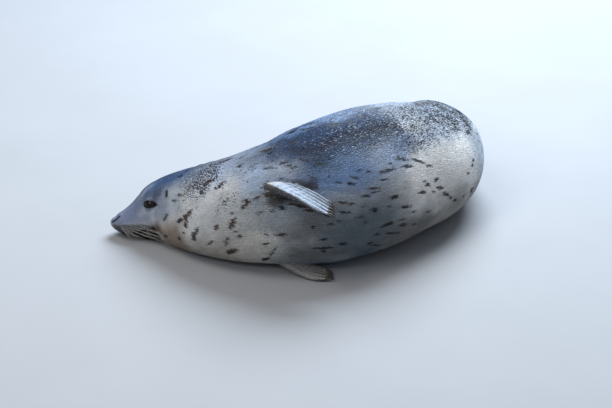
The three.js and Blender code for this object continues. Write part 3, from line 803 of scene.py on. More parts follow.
# the same boxes, with how much sand sticks there and how wet the coat is
SAND = [
    (250, 350, 48, 92, 26, 12, 2.6), (520, 930, 66, 112, 60, 12, 1.0),
    (560, 720, 98, 114, 50, 8, 1.4), (790, 1120, 70, 126, 50, 9, 1.8),
    (680, 950, 84, 128, 40, 7, 1.5),
    (200, 1300, -60, 60, 80, 30, 0.55), (360, 400, 118, 134, 12, 6, 0.5),
    (225, 300, 78, 112, 30, 14, 0.40), (380, 560, 84, 108, 40, 10, 0.35),
]
WET = [
    (380, 1000, -80, 112, 80, 24, 1.0), (500, 690, 90, 185, 60, 26, 0.8),
    (-20, 250, -60, 75, 30, 30, 0.7),
]
LIMB_WET, LIMB_SAND = 0.35, 0.06
# upper and under side; the left fore flipper's under side is painted shade
LIMB_TONES = {
    "fore_flipper_left": ((0.38, 0.44, 0.53), (0.028, 0.020, 0.016)),
    "fore_flipper_right": ((0.30, 0.285, 0.27), (0.16, 0.13, 0.11)),
    "hind_flipper_left": ((0.155, 0.155, 0.165), (0.13, 0.115, 0.105)),
    "hind_flipper_right": ((0.155, 0.155, 0.165), (0.13, 0.115, 0.105)),
    "tail": ((0.10, 0.105, 0.12), (0.22, 0.21, 0.20)),
}


def window(s, side, box):
    """1 inside a box of s and side, fading to 0 over its soft edges."""
    s0, s1, a0, a1, soft_s, soft_a = box
    return (smooth(s0 - soft_s, s0 + soft_s, s) * smooth(s1 + soft_s, s1 - soft_s, s)
            * smooth(a0 - soft_a, a0 + soft_a, side) * smooth(a1 + soft_a, a1 - soft_a, side))


def strongest(boxes, s, side):
    """The largest strength of the boxes that each place lies in."""
    value = np.zeros(len(s))
    for *box, strength in boxes:
        value = np.maximum(value, window(s, side, box) * strength)
    return value


def laid_over(tone, colour, share):
    """A tone with a share of a colour laid over it, point by point."""
    share = share[:, None]
    return tone * (1 - share) + np.array(colour) * share


def shaken(p, s, side):
    """Body places shaken by noise, less so on the face, so that no zone has a straight edge."""
    shaken_s = s + 16 * lattice_noise(p, 46, 3) + 7 * lattice_noise(p, 17, 5)
    face = smooth(HEAD_END, 150, s)
    sideways = 7 * lattice_noise(p, 60, 8) + 4 * lattice_noise(p, 19, 9)
    return shaken_s * (1 - face) + s * face, side + sideways * smooth(120, HEAD_END, s)


def trunk_tone(s, phi, side, ragged_s, ragged_side):
    """The zones laid over the pale coat, then painted shade over the whisker pad and the jaw."""
    tone = np.tile(np.array(PALE), (len(s), 1))
    ragged_turn = phi + ragged_side - side
    for *box, colour, strength in ZONES:
        across = ragged_turn if box[3] > 180 else ragged_side
        tone = laid_over(tone, colour, window(ragged_s, across, box) * strength)
    # painted shade over the whisker pad, and darker still below the lips over the jaw
    near = smooth(10, 20, s) * smooth(134, 112, s) * 0.94
    lips = mouth_side(np.clip(s, MOUTH_FRONT, MOUTH_CORNER))
    for edge, colour in ((track(PAD_SHADE_EDGE)(s), PAD_SHADE), (lips, JAW_SHADE)):
        tone = laid_over(tone, colour, smooth(edge - 5, edge + 3, side) * near)
    return tone


def spot_depths(p, s, phi, trunk):
    """How deep each point lies in a spot, in millimetres, and that spot's tint."""
    spot = np.full(len(p), -12.0)
    tint = np.zeros(len(p))
    for at, angle_at, length, width, turn, kind in ALL_SPOTS:
        here = np.nonzero(trunk & (np.abs(s - at) < length / 2 + 14)
                          & (np.abs((phi - angle_at + 180) % 360 - 180) < 22))[0]
        if not len(here):
            continue
        centre = Place(at, angle_at)
        q = p[here] - centre.at
        long_way = -centre.forward * math.cos(turn * DEG)
        long_way = long_way + np.cross(centre.out, -centre.forward) * math.sin(turn * DEG)
        wide_way = np.cross(centre.out, long_way)
        a, b = q @ long_way, q @ wide_way
        depth = (1 - np.sqrt((a / (length / 2)) ** 2 + (b / (width / 2)) ** 2)) * width / 2
        more = depth > spot[here]
        spot[here[more]] = depth[more]
        tint[here[more]] = kind / 2
    return spot, tint


def bare_face(p):
    """How bare the skin is at the nostrils, lips, ears and lids, and the shade round the last two."""
    patch = np.zeros(len(p))
    shade = np.zeros(len(p))
    for line in NOSTRILS:
        patch = np.maximum(patch, np.exp(-(distance_to_line(p, line) / 3.9) ** 4))
    for line in MOUTH:
        patch = np.maximum(patch, 0.9 * np.exp(-(distance_to_line(p, line) / 2.4) ** 2))
    for ear in EARS:
        d = ear_gap(ear, p)
        patch = np.maximum(patch, np.exp(-(d / 4.6) ** 4))
        shade = np.maximum(shade, 0.5 * np.exp(-(d / 8.0) ** 2))
    for eye in EYES:
        a, b, high, _ = eye.local(p)
        gap = np.where(high > 0, eye.outside(a, b), 99)
        patch = np.maximum(patch, smooth(4.4, 2.4, gap))
        shade = np.maximum(shade, 0.55 * np.exp(-(np.maximum(gap, 0) / 5.5) ** 2))
    return patch, shade


def limb_tone(limb, u, angle):
    """Pale root, upper side and sole, dark webs between the digits, and on the left flipper a darker
    trailing half, painted shade in its furrows and painted shade along its leading edge.
    """
    top, sole = LIMB_TONES[limb.name]
    x, y = np.cos(angle * DEG), np.sin(angle * DEG)
    is_tail = limb.name == "tail"
    upper = smooth(-0.3, 0.3, x) if is_tail else smooth(-0.45, 0.05, y)
    tone = laid_over(np.tile(np.array(sole), (len(u), 1)), top, upper)
    tone = laid_over(tone, np.array(PALE) * 0.8, smooth(0.42, 0.2, u))
    if is_tail:
        return tone
    wave = 0.5 - 0.5 * np.cos(math.pi * DIGITS * (squared(x) + 1 - 1 / DIGITS))
    tip = smooth(0.66 + 0.16 * smooth(-0.2, 0.4, x), 0.96, u)
    tone = laid_over(tone, WEB, smooth(0.35, 0.75, wave) * tip * 0.85)
    tone *= (1 + 0.20 * tip * (1 - wave))[:, None]
    if limb.name == "fore_flipper_left":
        # left flipper: a darker trailing half, and painted shade in the furrows between its digits
        hind_half = smooth(0.15, -0.25, x) * smooth(0.12, 0.3, u)
        furrow_shade = smooth(0.45, 0.9, wave) * hind_half
        tone *= (1.08 - 0.36 * hind_half - 0.50 * furrow_shade)[:, None]
        # painted shade along the leading edge, in the dark colour of the sole
        leading_edge_shade = smooth(0.0, 0.16, x - 0.42 - 0.5 * u) * smooth(0.98, 0.8, u) * 0.9
        tone = laid_over(tone, sole, leading_edge_shade)
    return tone


def markings(p, s, phi, which, u, angle):
    """Tone, spot depth in millimetres, spot tint, sand, wetness and bareness at each point."""
    side = np.minimum(phi, 360 - phi)
    ragged_s, ragged_side = shaken(p, s, side)
    trunk = which < 0
    tone = trunk_tone(s, phi, side, ragged_s, ragged_side)
    sand = strongest(SAND, ragged_s, ragged_side)
    wet = strongest(WET, s, side)
    spot, tint = spot_depths(p, s, phi, trunk)
    bare = np.zeros(len(p))
    head = trunk & (s < HEAD_END)
    bare[head], shade = bare_face(p[head])
    tone[head] *= (1 - shade)[:, None]
    for index, limb in enumerate(LIMBS):
        here = which == index
        tone[here] = limb_tone(limb, u[here], angle[here])
        wet[here] = LIMB_WET
        sand[here] = LIMB_SAND
    sand = np.maximum(sand, smooth(60, 5, p[:, 2]) * 0.21)
    girth = flank(np.clip(s, 0, LENGTH))
    drawn = np.stack([s * 0.25, girth * np.cos(phi * DEG), girth * np.sin(phi * DEG)], 1)
    streak = np.where(trunk, lattice_noise(drawn, 8, 71), 0)
    mottle = 1 + 0.06 * lattice_noise(p, 34, 21) + 0.04 * lattice_noise(p, 11, 22) + 0.08 * streak
    tone = tone * mottle[:, None]
    return tone, spot, tint, sand, np.clip(wet, 0, 1), np.clip(bare, 0, 1)


def store(mesh, name, kind, values):
    layer = mesh.attributes.new(name, kind, "POINT")
    if kind == "FLOAT_COLOR":
        values = np.concatenate([values, np.ones((len(values), 1))], 1)
        layer.data.foreach_set("color", values.astype(np.float32).ravel())
    else:
        layer.data.foreach_set("value", np.asarray(values, np.float32))


MARK_NAMES = ("tone", "spot", "tint", None, "wet", "bare")


def store_marks(mesh, marks):
    for name, values in zip(MARK_NAMES, marks):
        if name is None:
            continue
        store(mesh, name, "FLOAT_COLOR" if name == "tone" else "FLOAT", values)


skin_marks = markings(points, place_s, place_phi, island, limb_u, limb_angle)
store_marks(skin.data, skin_marks)

# ---------------------------------------------------------------- the coat

# s, length, width of a tuft and the ground it covers
TUFT_SIZES = [
    (0, 3.0, 0.8, 2.0), (60, 4.2, 1.0, 2.6), (150, 6.0, 1.3, 3.6), (230, 9.0, 1.8, 5.4),
    (400, 14.0, 2.4, 7.6), (1345, 14.0, 2.4, 8.0),
]
LIMB_TUFT = (6.0, 1.6, 3.2)
GRIT_DARK = (0.014, 0.013, 0.014)
# pale grains of sand, and painted glints of the wet coat
GRIT_PALE_AND_GLINT = (0.46, 0.52, 0.62)
# a tuft's corners are its root, its left, its right, its ridge and its tip
TUFT_FACES = np.array([[0, 1, 3], [0, 3, 2], [0, 2, 1], [4, 3, 1], [4, 2, 3], [4, 1, 2]])
TUFT_PATCH = np.array([[-0.5, 0], [0, 0.5], [0, -0.5], [0, 0], [0.5, 0]]) * 0.003
COAT_PARTS = [("coat_head", 0, 170), ("coat_neck", 170, 330), ("coat_chest", 330, 470),
              ("coat_breast", 470, 590), ("coat_belly", 590, 700), ("coat_flank", 700, 810),
              ("coat_hips", 810, 950), ("coat_rump", 950, 1400), ("coat_flippers", 9000, 99999)]
LIMB_S = 9999  # stands for s on every limb, so that it falls in coat_flippers


def tuft_size(column, s, on_limb):
    """Length, width or ground of the tufts at s, by column 1, 2 or 3 of the table."""
    return np.where(on_limb, LIMB_TUFT[column - 1], track([(r[0], r[column]) for r in TUFT_SIZES])(s))


def scatter(mesh):
    """Roots of tufts all over the skin: which triangle, and where in it."""
    mesh.calc_loop_triangles()
    n = len(mesh.loop_triangles)
    corner = np.empty(n * 3, np.int32)
    mesh.loop_triangles.foreach_get("loops", corner)
    vertex = np.empty(n * 3, np.int32)
    mesh.loop_triangles.foreach_get("vertices", vertex)
    corner, vertex = corner.reshape(-1, 3), vertex.reshape(-1, 3)
    a, b, c = (points[vertex[:, k]] for k in range(3))
    area = np.linalg.norm(np.cross(b - a, c - a), axis=1) / 2
    ground = tuft_size(3, place_s[vertex].mean(1), island[vertex].min(1) >= 0)
    bald = np.maximum(skin_marks[5][vertex].max(1), smooth(2.2, 1.2, points[vertex][:, :, 2].min(1)))
    want = area / ground * (bald < 0.35)
    number = np.floor(want + rng.random(n)).astype(int)
    pick = np.repeat(np.arange(n), number)
    r1, r2 = rng.random(len(pick)), rng.random(len(pick))
    swap = r1 + r2 > 1
    r1[swap], r2[swap] = 1 - r1[swap], 1 - r2[swap]
    weight = np.stack([1 - r1 - r2, r1, r2], 1)
    return vertex[pick], corner[pick], weight


def blend(values, vertex, weight):
    """Values of the skin's points, read inside its triangles."""
    got = values[vertex]
    return (got * (weight[:, :, None] if got.ndim == 3 else weight)).sum(1)


def tuft_corners(root, n_out, way, length, width, lift):
    """Five corners of a thin, slightly ridged tuft that leans along way."""
    across = np.cross(n_out, way)
    ridge = width * 0.13
    centre = root + way * (0.42 * length)[:, None]
    half = across * (width / 2)[:, None]
    edge_lift = n_out * (lift * 0.10)[:, None]
    corners = np.stack([
        root - n_out * (0.10 * length)[:, None],
        centre + half + edge_lift,
        centre - half + edge_lift,
        centre + n_out * (lift * 0.35 + ridge)[:, None],
        root + way * length[:, None] + n_out * lift[:, None],
    ], 1)
    corners[:, :, 2] = np.maximum(corners[:, :, 2], 0.25)
    return corners


def coat_mesh(name, tufts, root_uv, marks):
    """One piece of the coat; every corner of a tuft takes the marks of its root."""
    verts = tufts.reshape(-1, 3)
    tris = (TUFT_FACES[None] + 5 * np.arange(len(tufts))[:, None, None]).reshape(-1, 3)
    mesh = bpy.data.meshes.new(name)
    mesh.vertices.add(len(verts))
    mesh.vertices.foreach_set("co", ((verts + NOSE) * MM).astype(np.float32).ravel())
    mesh.loops.add(len(tris) * 3)
    mesh.loops.foreach_set("vertex_index", tris.astype(np.int32).ravel())
    mesh.polygons.add(len(tris))
    mesh.polygons.foreach_set("loop_start", np.arange(0, len(tris) * 3, 3, dtype=np.int32))
    mesh.polygons.foreach_set("use_smooth", np.zeros(len(tris), bool))
    mesh.update()
    layer = mesh.uv_layers.new(name=UV_NAME)
    per_vertex = (root_uv[:, None, :] + TUFT_PATCH[None]).reshape(-1, 2)
    layer.uv.foreach_set("vector", per_vertex[tris.ravel()].astype(np.float32).ravel())
    store_marks(mesh, [np.repeat(v, 5, axis=0) for v in marks])
    return place_piece(name, mesh)


def grow_coat():
    """Grows the tufts on the skin: their lie, size, grit with painted glints, and marks, then one
    piece for each part.
    """
    vertex, corner, weight = scatter(skin.data)
    flat = np.empty(len(skin.data.loops) * 2, np.float32)
    skin.data.uv_layers[UV_NAME].uv.foreach_get("vector", flat)
    flat = flat.reshape(-1, 2)
    root_uv = (flat[corner] * weight[:, :, None]).sum(1)
    root = blend(points, vertex, weight)
    n_out = unit(blend(out, vertex, weight))
    way = blend(lie, vertex, weight)
    way = way - n_out * (way * n_out).sum(1)[:, None]
    which = island[vertex[:, 0]]
    good = (np.linalg.norm(way, axis=1) > 0.2) & (island[vertex] == which[:, None]).all(1)
    root_uv, root, n_out, way, which = (v[good] for v in (root_uv, root, n_out, way, which))
    way = unit(way)
    n = len(root)
    s, phi, u, angle = places_on_body(root_uv, which)
    tone, spot, tint, sand, wet, bare = markings(root, s, phi, which, u, angle)
    limb = which >= 0
    clump = 0.5 + 0.5 * lattice_noise(root, 17, 61) + 0.25 * lattice_noise(root, 7, 62)
    dark_grit = rng.random(n) < sand * (0.18 + 0.46 * clump)
    # pale flecks are grains of sand and painted glints of the wet coat, more of them on the neck and
    # the hips
    gleam = 0.05 + 0.25 * np.maximum(smooth(680, 800, s), smooth(380, 340, s) * 0.5)
    pale_grit_and_glint = ~dark_grit & (rng.random(n) < sand * gleam)
    grain = dark_grit | pale_grit_and_glint
    length = tuft_size(1, s, limb) * rng.uniform(0.75, 1.2, n) * np.where(grain, 0.55, 1)
    width = tuft_size(2, s, limb) * rng.uniform(0.8, 1.2, n) * np.where(grain, 1.15, 1)
    yaw = rng.normal(0, 0.13, n) + 0.25 * lattice_noise(root, 30, 31) * smooth(120, 300, s)
    way = way * np.cos(yaw)[:, None] + np.cross(n_out, way) * np.sin(yaw)[:, None]
    lift = length * rng.uniform(0.02, 0.06, n) + length ** 2 / 450 + np.where(grain, 0.35, 0)
    tufts = tuft_corners(root, n_out, way, length, width, lift)
    tone = np.clip(tone * rng.normal(1.0, 0.05, n)[:, None], 0.004, 1)
    tone[dark_grit] = np.array(GRIT_DARK) * rng.uniform(0.5, 2.0, (dark_grit.sum(), 1))
    tone[pale_grit_and_glint] = np.array(GRIT_PALE_AND_GLINT) * rng.uniform(0.6, 1.1, (pale_grit_and_glint.sum(), 1))
    sorted_s = np.where(limb, LIMB_S, s)
    made = []
    for name, low, high in COAT_PARTS:
        pick = np.nonzero((sorted_s >= low) & (sorted_s < high))[0]
        marks = [v[pick] for v in (tone, spot, tint, sand, wet, bare)]
        made.append(coat_mesh(name, tufts[pick], root_uv[pick], marks))
    return made


coat_pieces = grow_coat()

# ---------------------------------------------------------------- claws, whiskers and eyes


def tubes(name, lines, radii, sides, flatten=1.0, face=None):
    """Joined tubes: one for each bent line of points, closed at both ends."""
    verts, faces = [], []
    base = 0
    ring = np.arange(sides)
    turn = 2 * math.pi * (ring + 0.5) / sides
    for line, radius in zip(lines, radii):
        steps_here = len(line)
        along = unit(np.gradient(line, axis=0))
        side = np.array([0.31, 0.12, 0.94]) if face is None else face
        across = unit(np.cross(along, side))
        rise = np.cross(across, along)
        circle = (across[:, None] * np.cos(turn)[None, :, None]
                  + flatten * rise[:, None] * np.sin(turn)[None, :, None])
        body = line[:, None] + circle * np.asarray(radius)[:, None, None]
        verts.append(body.reshape(-1, 3))
        verts.append(line[[0, -1]])
        for i in range(steps_here - 1):
            a = base + i * sides + ring
            b = base + i * sides + (ring + 1) % sides
            faces.append(np.stack([a, b, b + sides], 1))
            faces.append(np.stack([a, b + sides, a + sides], 1))
        start, end = base + steps_here * sides, base + steps_here * sides + 1
        a, b = base + ring, base + (ring + 1) % sides
        faces.append(np.stack([b, a, np.full(sides, start)], 1))
        a, b = a + (steps_here - 1) * sides, b + (steps_here - 1) * sides
        faces.append(np.stack([a, b, np.full(sides, end)], 1))
        base += steps_here * sides + 2
    verts, faces = np.concatenate(verts), np.concatenate(faces)
    mesh = bpy.data.meshes.new(name)
    mesh.from_pydata(((verts + NOSE) * MM).tolist(), [], faces.tolist())
    mesh.polygons.foreach_set("use_smooth", [True] * len(mesh.polygons))
    bm = bmesh.new()
    bm.from_mesh(mesh)
    bmesh.ops.recalc_face_normals(bm, faces=bm.faces)
    bm.to_mesh(mesh)
    bm.free()
    return place_piece(name, mesh)


def claw_line(limb, digit):
    """The bent middle line of a digit's claw, its radii, and the way its back faces."""
    claw = limb.shape["claw"]
    x = (2 * digit + 1) / DIGITS - 1
    tip = limb.point(np.array([1.0]), np.array([x]), np.array([0.0]))[0]
    before = limb.point(np.array([0.9]), np.array([x]), np.array([0.0]))[0]
    ahead = unit(tip - before)
    rise = unit(limb.face - ahead * (limb.face @ ahead))
    start = tip - ahead * claw["set"] + rise * 1.0
    t = np.linspace(0, 1, 13)
    line = (start + ahead * (claw["length"] * t)[:, None]
            + rise * (claw["length"] * 0.14 * np.sin(math.pi * t))[:, None])
    radius = claw["width"] * 1.05 * np.sqrt(np.clip(1 - 0.96 * t ** 2.2, 0.02, 1))
    return settle(line, PAW_SOFTNESS) + np.array([0, 0, 0.2]), radius, rise


claw_pieces = []
for limb in LIMBS[:4]:
    lines, radii = [], []
    for digit in range(DIGITS):
        line, radius, rise = claw_line(limb, digit)
        lines.append(line)
        radii.append(radius)
    name = limb.name.replace("flipper", "claws")
    piece = tubes(name, lines, radii, 10, 1.1, rise)
    stem = limb.name.replace("flipper", "claw")
    claw_pieces.append((piece, [f"{stem}_{d + 1}" for d in range(DIGITS)]))

# Whiskers: rows of beaded bristles on the pad, sweeping back and down, and a few on the brow.
# phi of a row, its first and last s, how many, the longest
WHISKER_ROWS = [(97, 26, 62, 4, 46), (104, 26, 78, 5, 66), (111, 28, 88, 6, 86),
                (118, 32, 90, 5, 96), (124, 40, 84, 4, 80)]
# s, phi, length
BROW_WHISKERS = [(112, 47, 24), (118, 44, 28), (125, 43, 26)]
WHISKER_RADIUS = 0.28
BEAD = 5.72  # from one bead of a whisker to the next


def pad_whisker(place, length):
    """A long beaded bristle that sweeps back along the cheek and droops."""
    t = np.linspace(0, 1, 22)
    curl = rng.uniform(0.5, 1.1)
    away = place.out * 0.42 - place.forward * 0.95 - place.up * rng.uniform(0.20, 0.36)
    away = unit(away)
    droop = -place.up * 0.26 * curl + place.out * -0.16 - place.forward * 0.16
    wiggle = np.cross(away, place.up) * 0.012 * np.sin(t * rng.uniform(7, 11))[:, None]
    line = place.at + length * (away * t[:, None] + droop * (t ** 2.2)[:, None] * 0.6 + wiggle)
    line[:, 2] = np.maximum(line[:, 2], 1.2)
    bead = 1 + 0.12 * np.sin(2 * math.pi * t * length / BEAD)
    return line, (WHISKER_RADIUS * (1 - t) ** 0.7 + 0.09) * bead


def brow_whisker(place, length):
    """A short smooth bristle above the eye."""
    t = np.linspace(0, 1, 14)
    away = unit(place.out * rng.uniform(0.34, 0.52) - place.forward * 0.9
                + place.up * rng.uniform(-0.12, 0.12))
    line = place.at + length * (away * t[:, None] - place.forward * 0.25 * (t ** 2)[:, None])
    return line, WHISKER_RADIUS * (1 - t) ** 0.7 + 0.10


bristles = []
for mirrored in (False, True):
    for row_phi, first_s, last_s, number, longest in WHISKER_ROWS:
        for k in range(number):
            share = k / (number - 1)
            phi = row_phi + rng.uniform(-1.5, 1.5)
            length = longest * (0.55 + 0.45 * share) * rng.uniform(0.85, 1.12)
            place = Place(first_s + (last_s - first_s) * share, 360 - phi if mirrored else phi, 1.6)
            bristles.append(pad_whisker(place, length))
    for s, phi, length in BROW_WHISKERS:
        bristles.append(brow_whisker(Place(s, 360 - phi if mirrored else phi, 1.0), length))
whiskers = tubes("whiskers", *zip(*bristles), 5)


def make_eye(name, eye):
    """A ball with its front drawn out a little into the cornea."""
    bm = bmesh.new()
    bmesh.ops.create_icosphere(bm, subdivisions=5, radius=EYE_RADIUS)
    off_gaze = bm.verts.layers.float.new("gaze")
    for v in bm.verts:
        way = np.array(v.co) / EYE_RADIUS
        off = math.degrees(math.acos(max(-1.0, min(1.0, float(way @ eye.gaze)))))
        v[off_gaze] = off
        swell = 1 + 0.035 * math.exp(-(off / 30) ** 4)
        v.co = eye.middle + way * EYE_RADIUS * swell
    return finish_mesh(name, bm)


eye_pieces = [make_eye("eyeball_left", EYES[0]), make_eye("eyeball_right", EYES[1])]

# ---------------------------------------------------------------- materials


SPOT_BLACK = (0.010, 0.008, 0.008, 1)
SPOT_BROWN = (0.045, 0.024, 0.014, 1)
SPOT_GREY = (0.040, 0.042, 0.050, 1)
BARE_SKIN = (0.012, 0.011, 0.012, 1)


class Nodes:
    """A material's nodes, built by short calls."""

    def __init__(self, name):
        self.material = bpy.data.materials.new(name)
        self.material.use_nodes = True
        self.tree = self.material.node_tree
        self.shader = self.tree.nodes["Principled BSDF"]

    def node(self, kind, **values):
        made = self.tree.nodes.new(kind)
        for key, value in values.items():
            setattr(made, key, value)
        return made

    def link(self, source, target):
        self.tree.links.new(source, target)

    def feed(self, socket, value):
        if hasattr(value, "is_output"):
            self.link(value, socket)
        else:
            socket.default_value = value

    def math(self, operation, a, b):
        made = self.node("ShaderNodeMath", operation=operation)
        for socket, value in zip(made.inputs, (a, b)):
            self.feed(socket, value)
        return made.outputs[0]

    def ramp(self, value, low, high, out_low=0.0, out_high=1.0):
        made = self.node("ShaderNodeMapRange", interpolation_type="SMOOTHSTEP")
        for key, v in (("Value", value), ("From Min", low), ("From Max", high),
                       ("To Min", out_low), ("To Max", out_high)):
            self.feed(made.inputs[key], v)
        return made.outputs["Result"]

    def mix(self, factor, a, b, blend="MIX"):
        made = self.node("ShaderNodeMix", data_type="RGBA", blend_type=blend)
        self.feed(made.inputs[0], factor)
        self.feed(made.inputs[6], a)
        self.feed(made.inputs[7], b)
        return made.outputs[2]

    def attribute(self, name, colour=False):
        made = self.node("ShaderNodeAttribute", attribute_name=name)
        return made.outputs["Color" if colour else "Fac"]

    def noise(self, vector, scale, detail=2.0, roughness=0.5, distortion=0.0):
        made = self.node("ShaderNodeTexNoise")
        self.link(vector, made.inputs["Vector"])
        made.inputs["Scale"].default_value = scale
        made.inputs["Detail"].default_value = detail
        made.inputs["Roughness"].default_value = roughness
        made.inputs["Distortion"].default_value = distortion
        return made.outputs["Fac"]

    def bump(self, height, strength, distance):
        made = self.node("ShaderNodeBump")
        made.inputs["Strength"].default_value = strength
        made.inputs["Distance"].default_value = distance
        self.link(height, made.inputs["Height"])
        return made.outputs["Normal"]


def coat_material():
    m = Nodes("seal_coat")
    where = m.node("ShaderNodeTexCoord").outputs["Object"]
    tone = m.attribute("tone", True)
    spot, tint = m.attribute("spot"), m.attribute("tint")
    wet, bare = m.attribute("wet"), m.attribute("bare")
    hair = m.noise(where, 420, 3, 0.6)
    patchy = m.noise(where, 38, 3, 0.6)
    colour = m.mix(m.ramp(hair, 0.32, 0.70), m.mix(1.0, tone, (0.80, 0.80, 0.82, 1), "MULTIPLY"),
                   m.mix(1.0, tone, (1.10, 1.10, 1.08, 1), "MULTIPLY"))
    colour = m.mix(m.ramp(patchy, 0.35, 0.7, 0.0, 0.22), colour,
                   m.mix(1.0, colour, (0.62, 0.60, 0.58, 1), "MULTIPLY"))
    ragged = m.math("MULTIPLY", m.math("SUBTRACT", m.noise(where, 190, 3, 0.6), 0.5), 6.0)
    inside = m.ramp(m.math("ADD", spot, ragged), -2.0, -0.1)
    warm = m.mix(m.ramp(tint, 0.0, 0.5), SPOT_BLACK, SPOT_BROWN)
    warm = m.mix(m.ramp(tint, 0.55, 1.0), warm, SPOT_GREY)
    colour = m.mix(m.math("MULTIPLY", inside, 0.93), colour, warm)
    colour = m.mix(bare, colour, BARE_SKIN)
    m.link(colour, m.shader.inputs["Base Color"])
    rough = m.ramp(wet, 0.0, 1.0, 0.66, 0.40)
    rough = m.math("ADD", rough, m.ramp(patchy, 0.3, 0.7, -0.06, 0.06))
    rough = m.math("ADD", rough, m.math("MULTIPLY", bare, -0.18))
    m.link(m.math("MAXIMUM", rough, 0.2), m.shader.inputs["Roughness"])
    m.link(m.ramp(wet, 0.0, 1.0, 0.12, 0.13), m.shader.inputs["Specular IOR Level"])
    m.link(m.bump(hair, 0.35, 0.0008), m.shader.inputs["Normal"])
    return m.material


def eye_material():
    m = Nodes("seal_eye")
    gaze = m.attribute("gaze")
    where = m.node("ShaderNodeTexCoord").outputs["Object"]
    streak = m.noise(where, 900, 3, 0.6)
    iris = m.mix(streak, (0.008, 0.005, 0.003, 1), (0.024, 0.014, 0.008, 1))
    colour = m.mix(m.ramp(gaze, 22, 26), (0.003, 0.003, 0.003, 1), iris)
    colour = m.mix(m.ramp(gaze, 36, 40), colour, (0.010, 0.008, 0.008, 1))
    colour = m.mix(m.ramp(gaze, 56, 66), colour, (0.05, 0.04, 0.04, 1))
    m.link(colour, m.shader.inputs["Base Color"])
    m.shader.inputs["Roughness"].default_value = 0.03
    m.shader.inputs["Specular IOR Level"].default_value = 0.30
    return m.material


def claw_material():
    m = Nodes("claw_horn")
    where = m.node("ShaderNodeTexCoord").outputs["Object"]
    grain = m.noise(where, 700, 3, 0.6, 1.5)
    m.link(m.mix(grain, (0.012, 0.010, 0.009, 1), (0.075, 0.055, 0.040, 1)),
           m.shader.inputs["Base Color"])
    m.link(m.ramp(grain, 0.3, 0.7, 0.28, 0.5), m.shader.inputs["Roughness"])
    m.link(m.bump(grain, 0.3, 0.0003), m.shader.inputs["Normal"])
    return m.material


def whisker_material():
    m = Nodes("whisker_bristle")
    where = m.node("ShaderNodeTexCoord").outputs["Object"]
    grain = m.noise(where, 500, 2)
    m.link(m.mix(grain, (0.36, 0.32, 0.26, 1), (0.60, 0.57, 0.50, 1)),
           m.shader.inputs["Base Color"])
    m.link(m.ramp(grain, 0.3, 0.7, 0.3, 0.42), m.shader.inputs["Roughness"])
    return m.material


def floor_material():
    m = Nodes("studio_floor")
    where = m.node("ShaderNodeTexCoord").outputs["Object"]
    soft = m.noise(where, 3, 3)
    m.link(m.mix(soft, (0.29, 0.29, 0.30, 1), (0.33, 0.33, 0.34, 1)), m.shader.inputs["Base Color"])
    m.shader.inputs["Roughness"].default_value = 0.8
    return m.material


def dress(piece, material):
    piece.data.materials.clear()
    piece.data.materials.append(material)


coat = coat_material()
for piece in [skin] + coat_pieces:
    dress(piece, coat)
horn = claw_material()
for piece, _ in claw_pieces:
    dress(piece, horn)
dress(whiskers, whisker_material())
wet_eye = eye_material()
for piece in eye_pieces:
    dress(piece, wet_eye)

# ---------------------------------------------------------------- what rides and replaces what

FLESH = ["nose", "head", "lower_jaw", "neck", "chest", "belly", "hips", "rump", "tail",
         "fore_flipper_left", "fore_flipper_right", "hind_flipper_left", "hind_flipper_right"]
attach(skin, "root")
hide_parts(*FLESH)
for piece in coat_pieces + [whiskers]:
    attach(piece, "root")
for piece, nodes in claw_pieces:
    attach(piece, "root")
    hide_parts(*nodes)
for piece, node in zip(eye_pieces, ("eye_left", "eye_right")):
    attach(piece, "root")
    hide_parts(node)

# ---------------------------------------------------------------- stage, lights and camera

bm = bmesh.new()
bmesh.ops.create_grid(bm, x_segments=2, y_segments=2, size=14)
floor_mesh = bpy.data.meshes.new("studio_floor")
bm.to_mesh(floor_mesh)
bm.free()
studio_floor = place_piece("studio_floor", floor_mesh)
dress(studio_floor, floor_material())


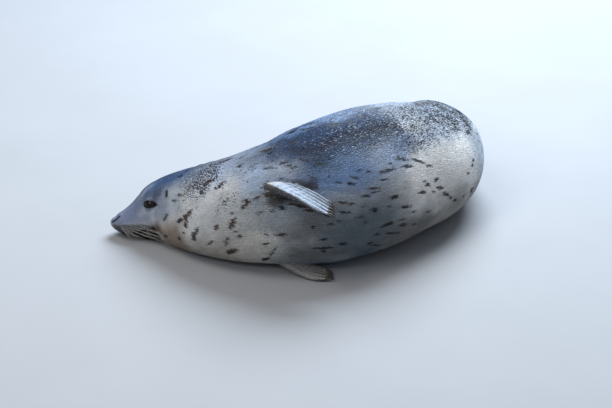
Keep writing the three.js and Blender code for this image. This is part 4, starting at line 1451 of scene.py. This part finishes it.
def area_light(name, at, target, size, power, colour):
    data = bpy.data.lights.new(name, "AREA")
    data.shape = "DISK"
    data.size = size
    data.energy = power
    data.color = colour
    lamp = bpy.data.objects.new(name, data)
    lamp.location = at
    lamp.rotation_euler = (Vector(target) - Vector(at)).to_track_quat("-Z", "Y").to_euler()
    bpy.context.scene.collection.objects.link(lamp)


CENTRE = (0, 0, 0.15)
area_light("sky_key", (0.9, 2.3, 3.0), CENTRE, 3.0, 390, (0.76, 0.88, 1.0))
area_light("sky_top", (-1.1, -1.0, 3.1), (-0.35, -0.1, 0.1), 1.5, 40, (1.0, 0.97, 0.92))
area_light("eye_light", (-1.55, -2.2, 2.2), (-0.38, -0.15, 0.07), 0.8, 16, (1.0, 1.0, 1.0))

world = bpy.data.worlds.new("studio")
world.use_nodes = True
world.node_tree.nodes["Background"].inputs["Color"].default_value = (0.70, 0.78, 0.90, 1)
world.node_tree.nodes["Background"].inputs["Strength"].default_value = 0.45
bpy.context.scene.world = world
bpy.context.scene.view_settings.view_transform = "Standard"

# The camera looks along +Y and down. NOSE_AT is where the tip of the nose falls in the frame.
ELEVATION = 26 * DEG
DISTANCE = 7000.0
MM_PER_PIXEL = 2.55
NOSE_AT = (111.5, 222.0)
NOSE_HEIGHT = 35.0
FRAME_SIZE = (612, 408)
SENSOR = 36
ahead = np.array([0, math.cos(ELEVATION), -math.sin(ELEVATION)])
above = np.array([0, math.sin(ELEVATION), math.cos(ELEVATION)])
eye_at = (np.array([0, 0, NOSE_HEIGHT]) - ahead * DISTANCE
          + np.array([1.0, 0, 0]) * (FRAME_SIZE[0] / 2 - NOSE_AT[0]) * MM_PER_PIXEL
          + above * (NOSE_AT[1] - FRAME_SIZE[1] / 2) * MM_PER_PIXEL)
camera_data = bpy.data.cameras.new("camera")
camera_data.sensor_width = SENSOR
camera_data.lens = SENSOR * DISTANCE / MM_PER_PIXEL / FRAME_SIZE[0]
camera_data.clip_end = 100
camera = bpy.data.objects.new("camera", camera_data)
camera.location = (eye_at + NOSE) * MM
camera.rotation_euler = (math.pi / 2 - ELEVATION, 0, 0)
bpy.context.scene.collection.objects.link(camera)
bpy.context.scene.camera = camera
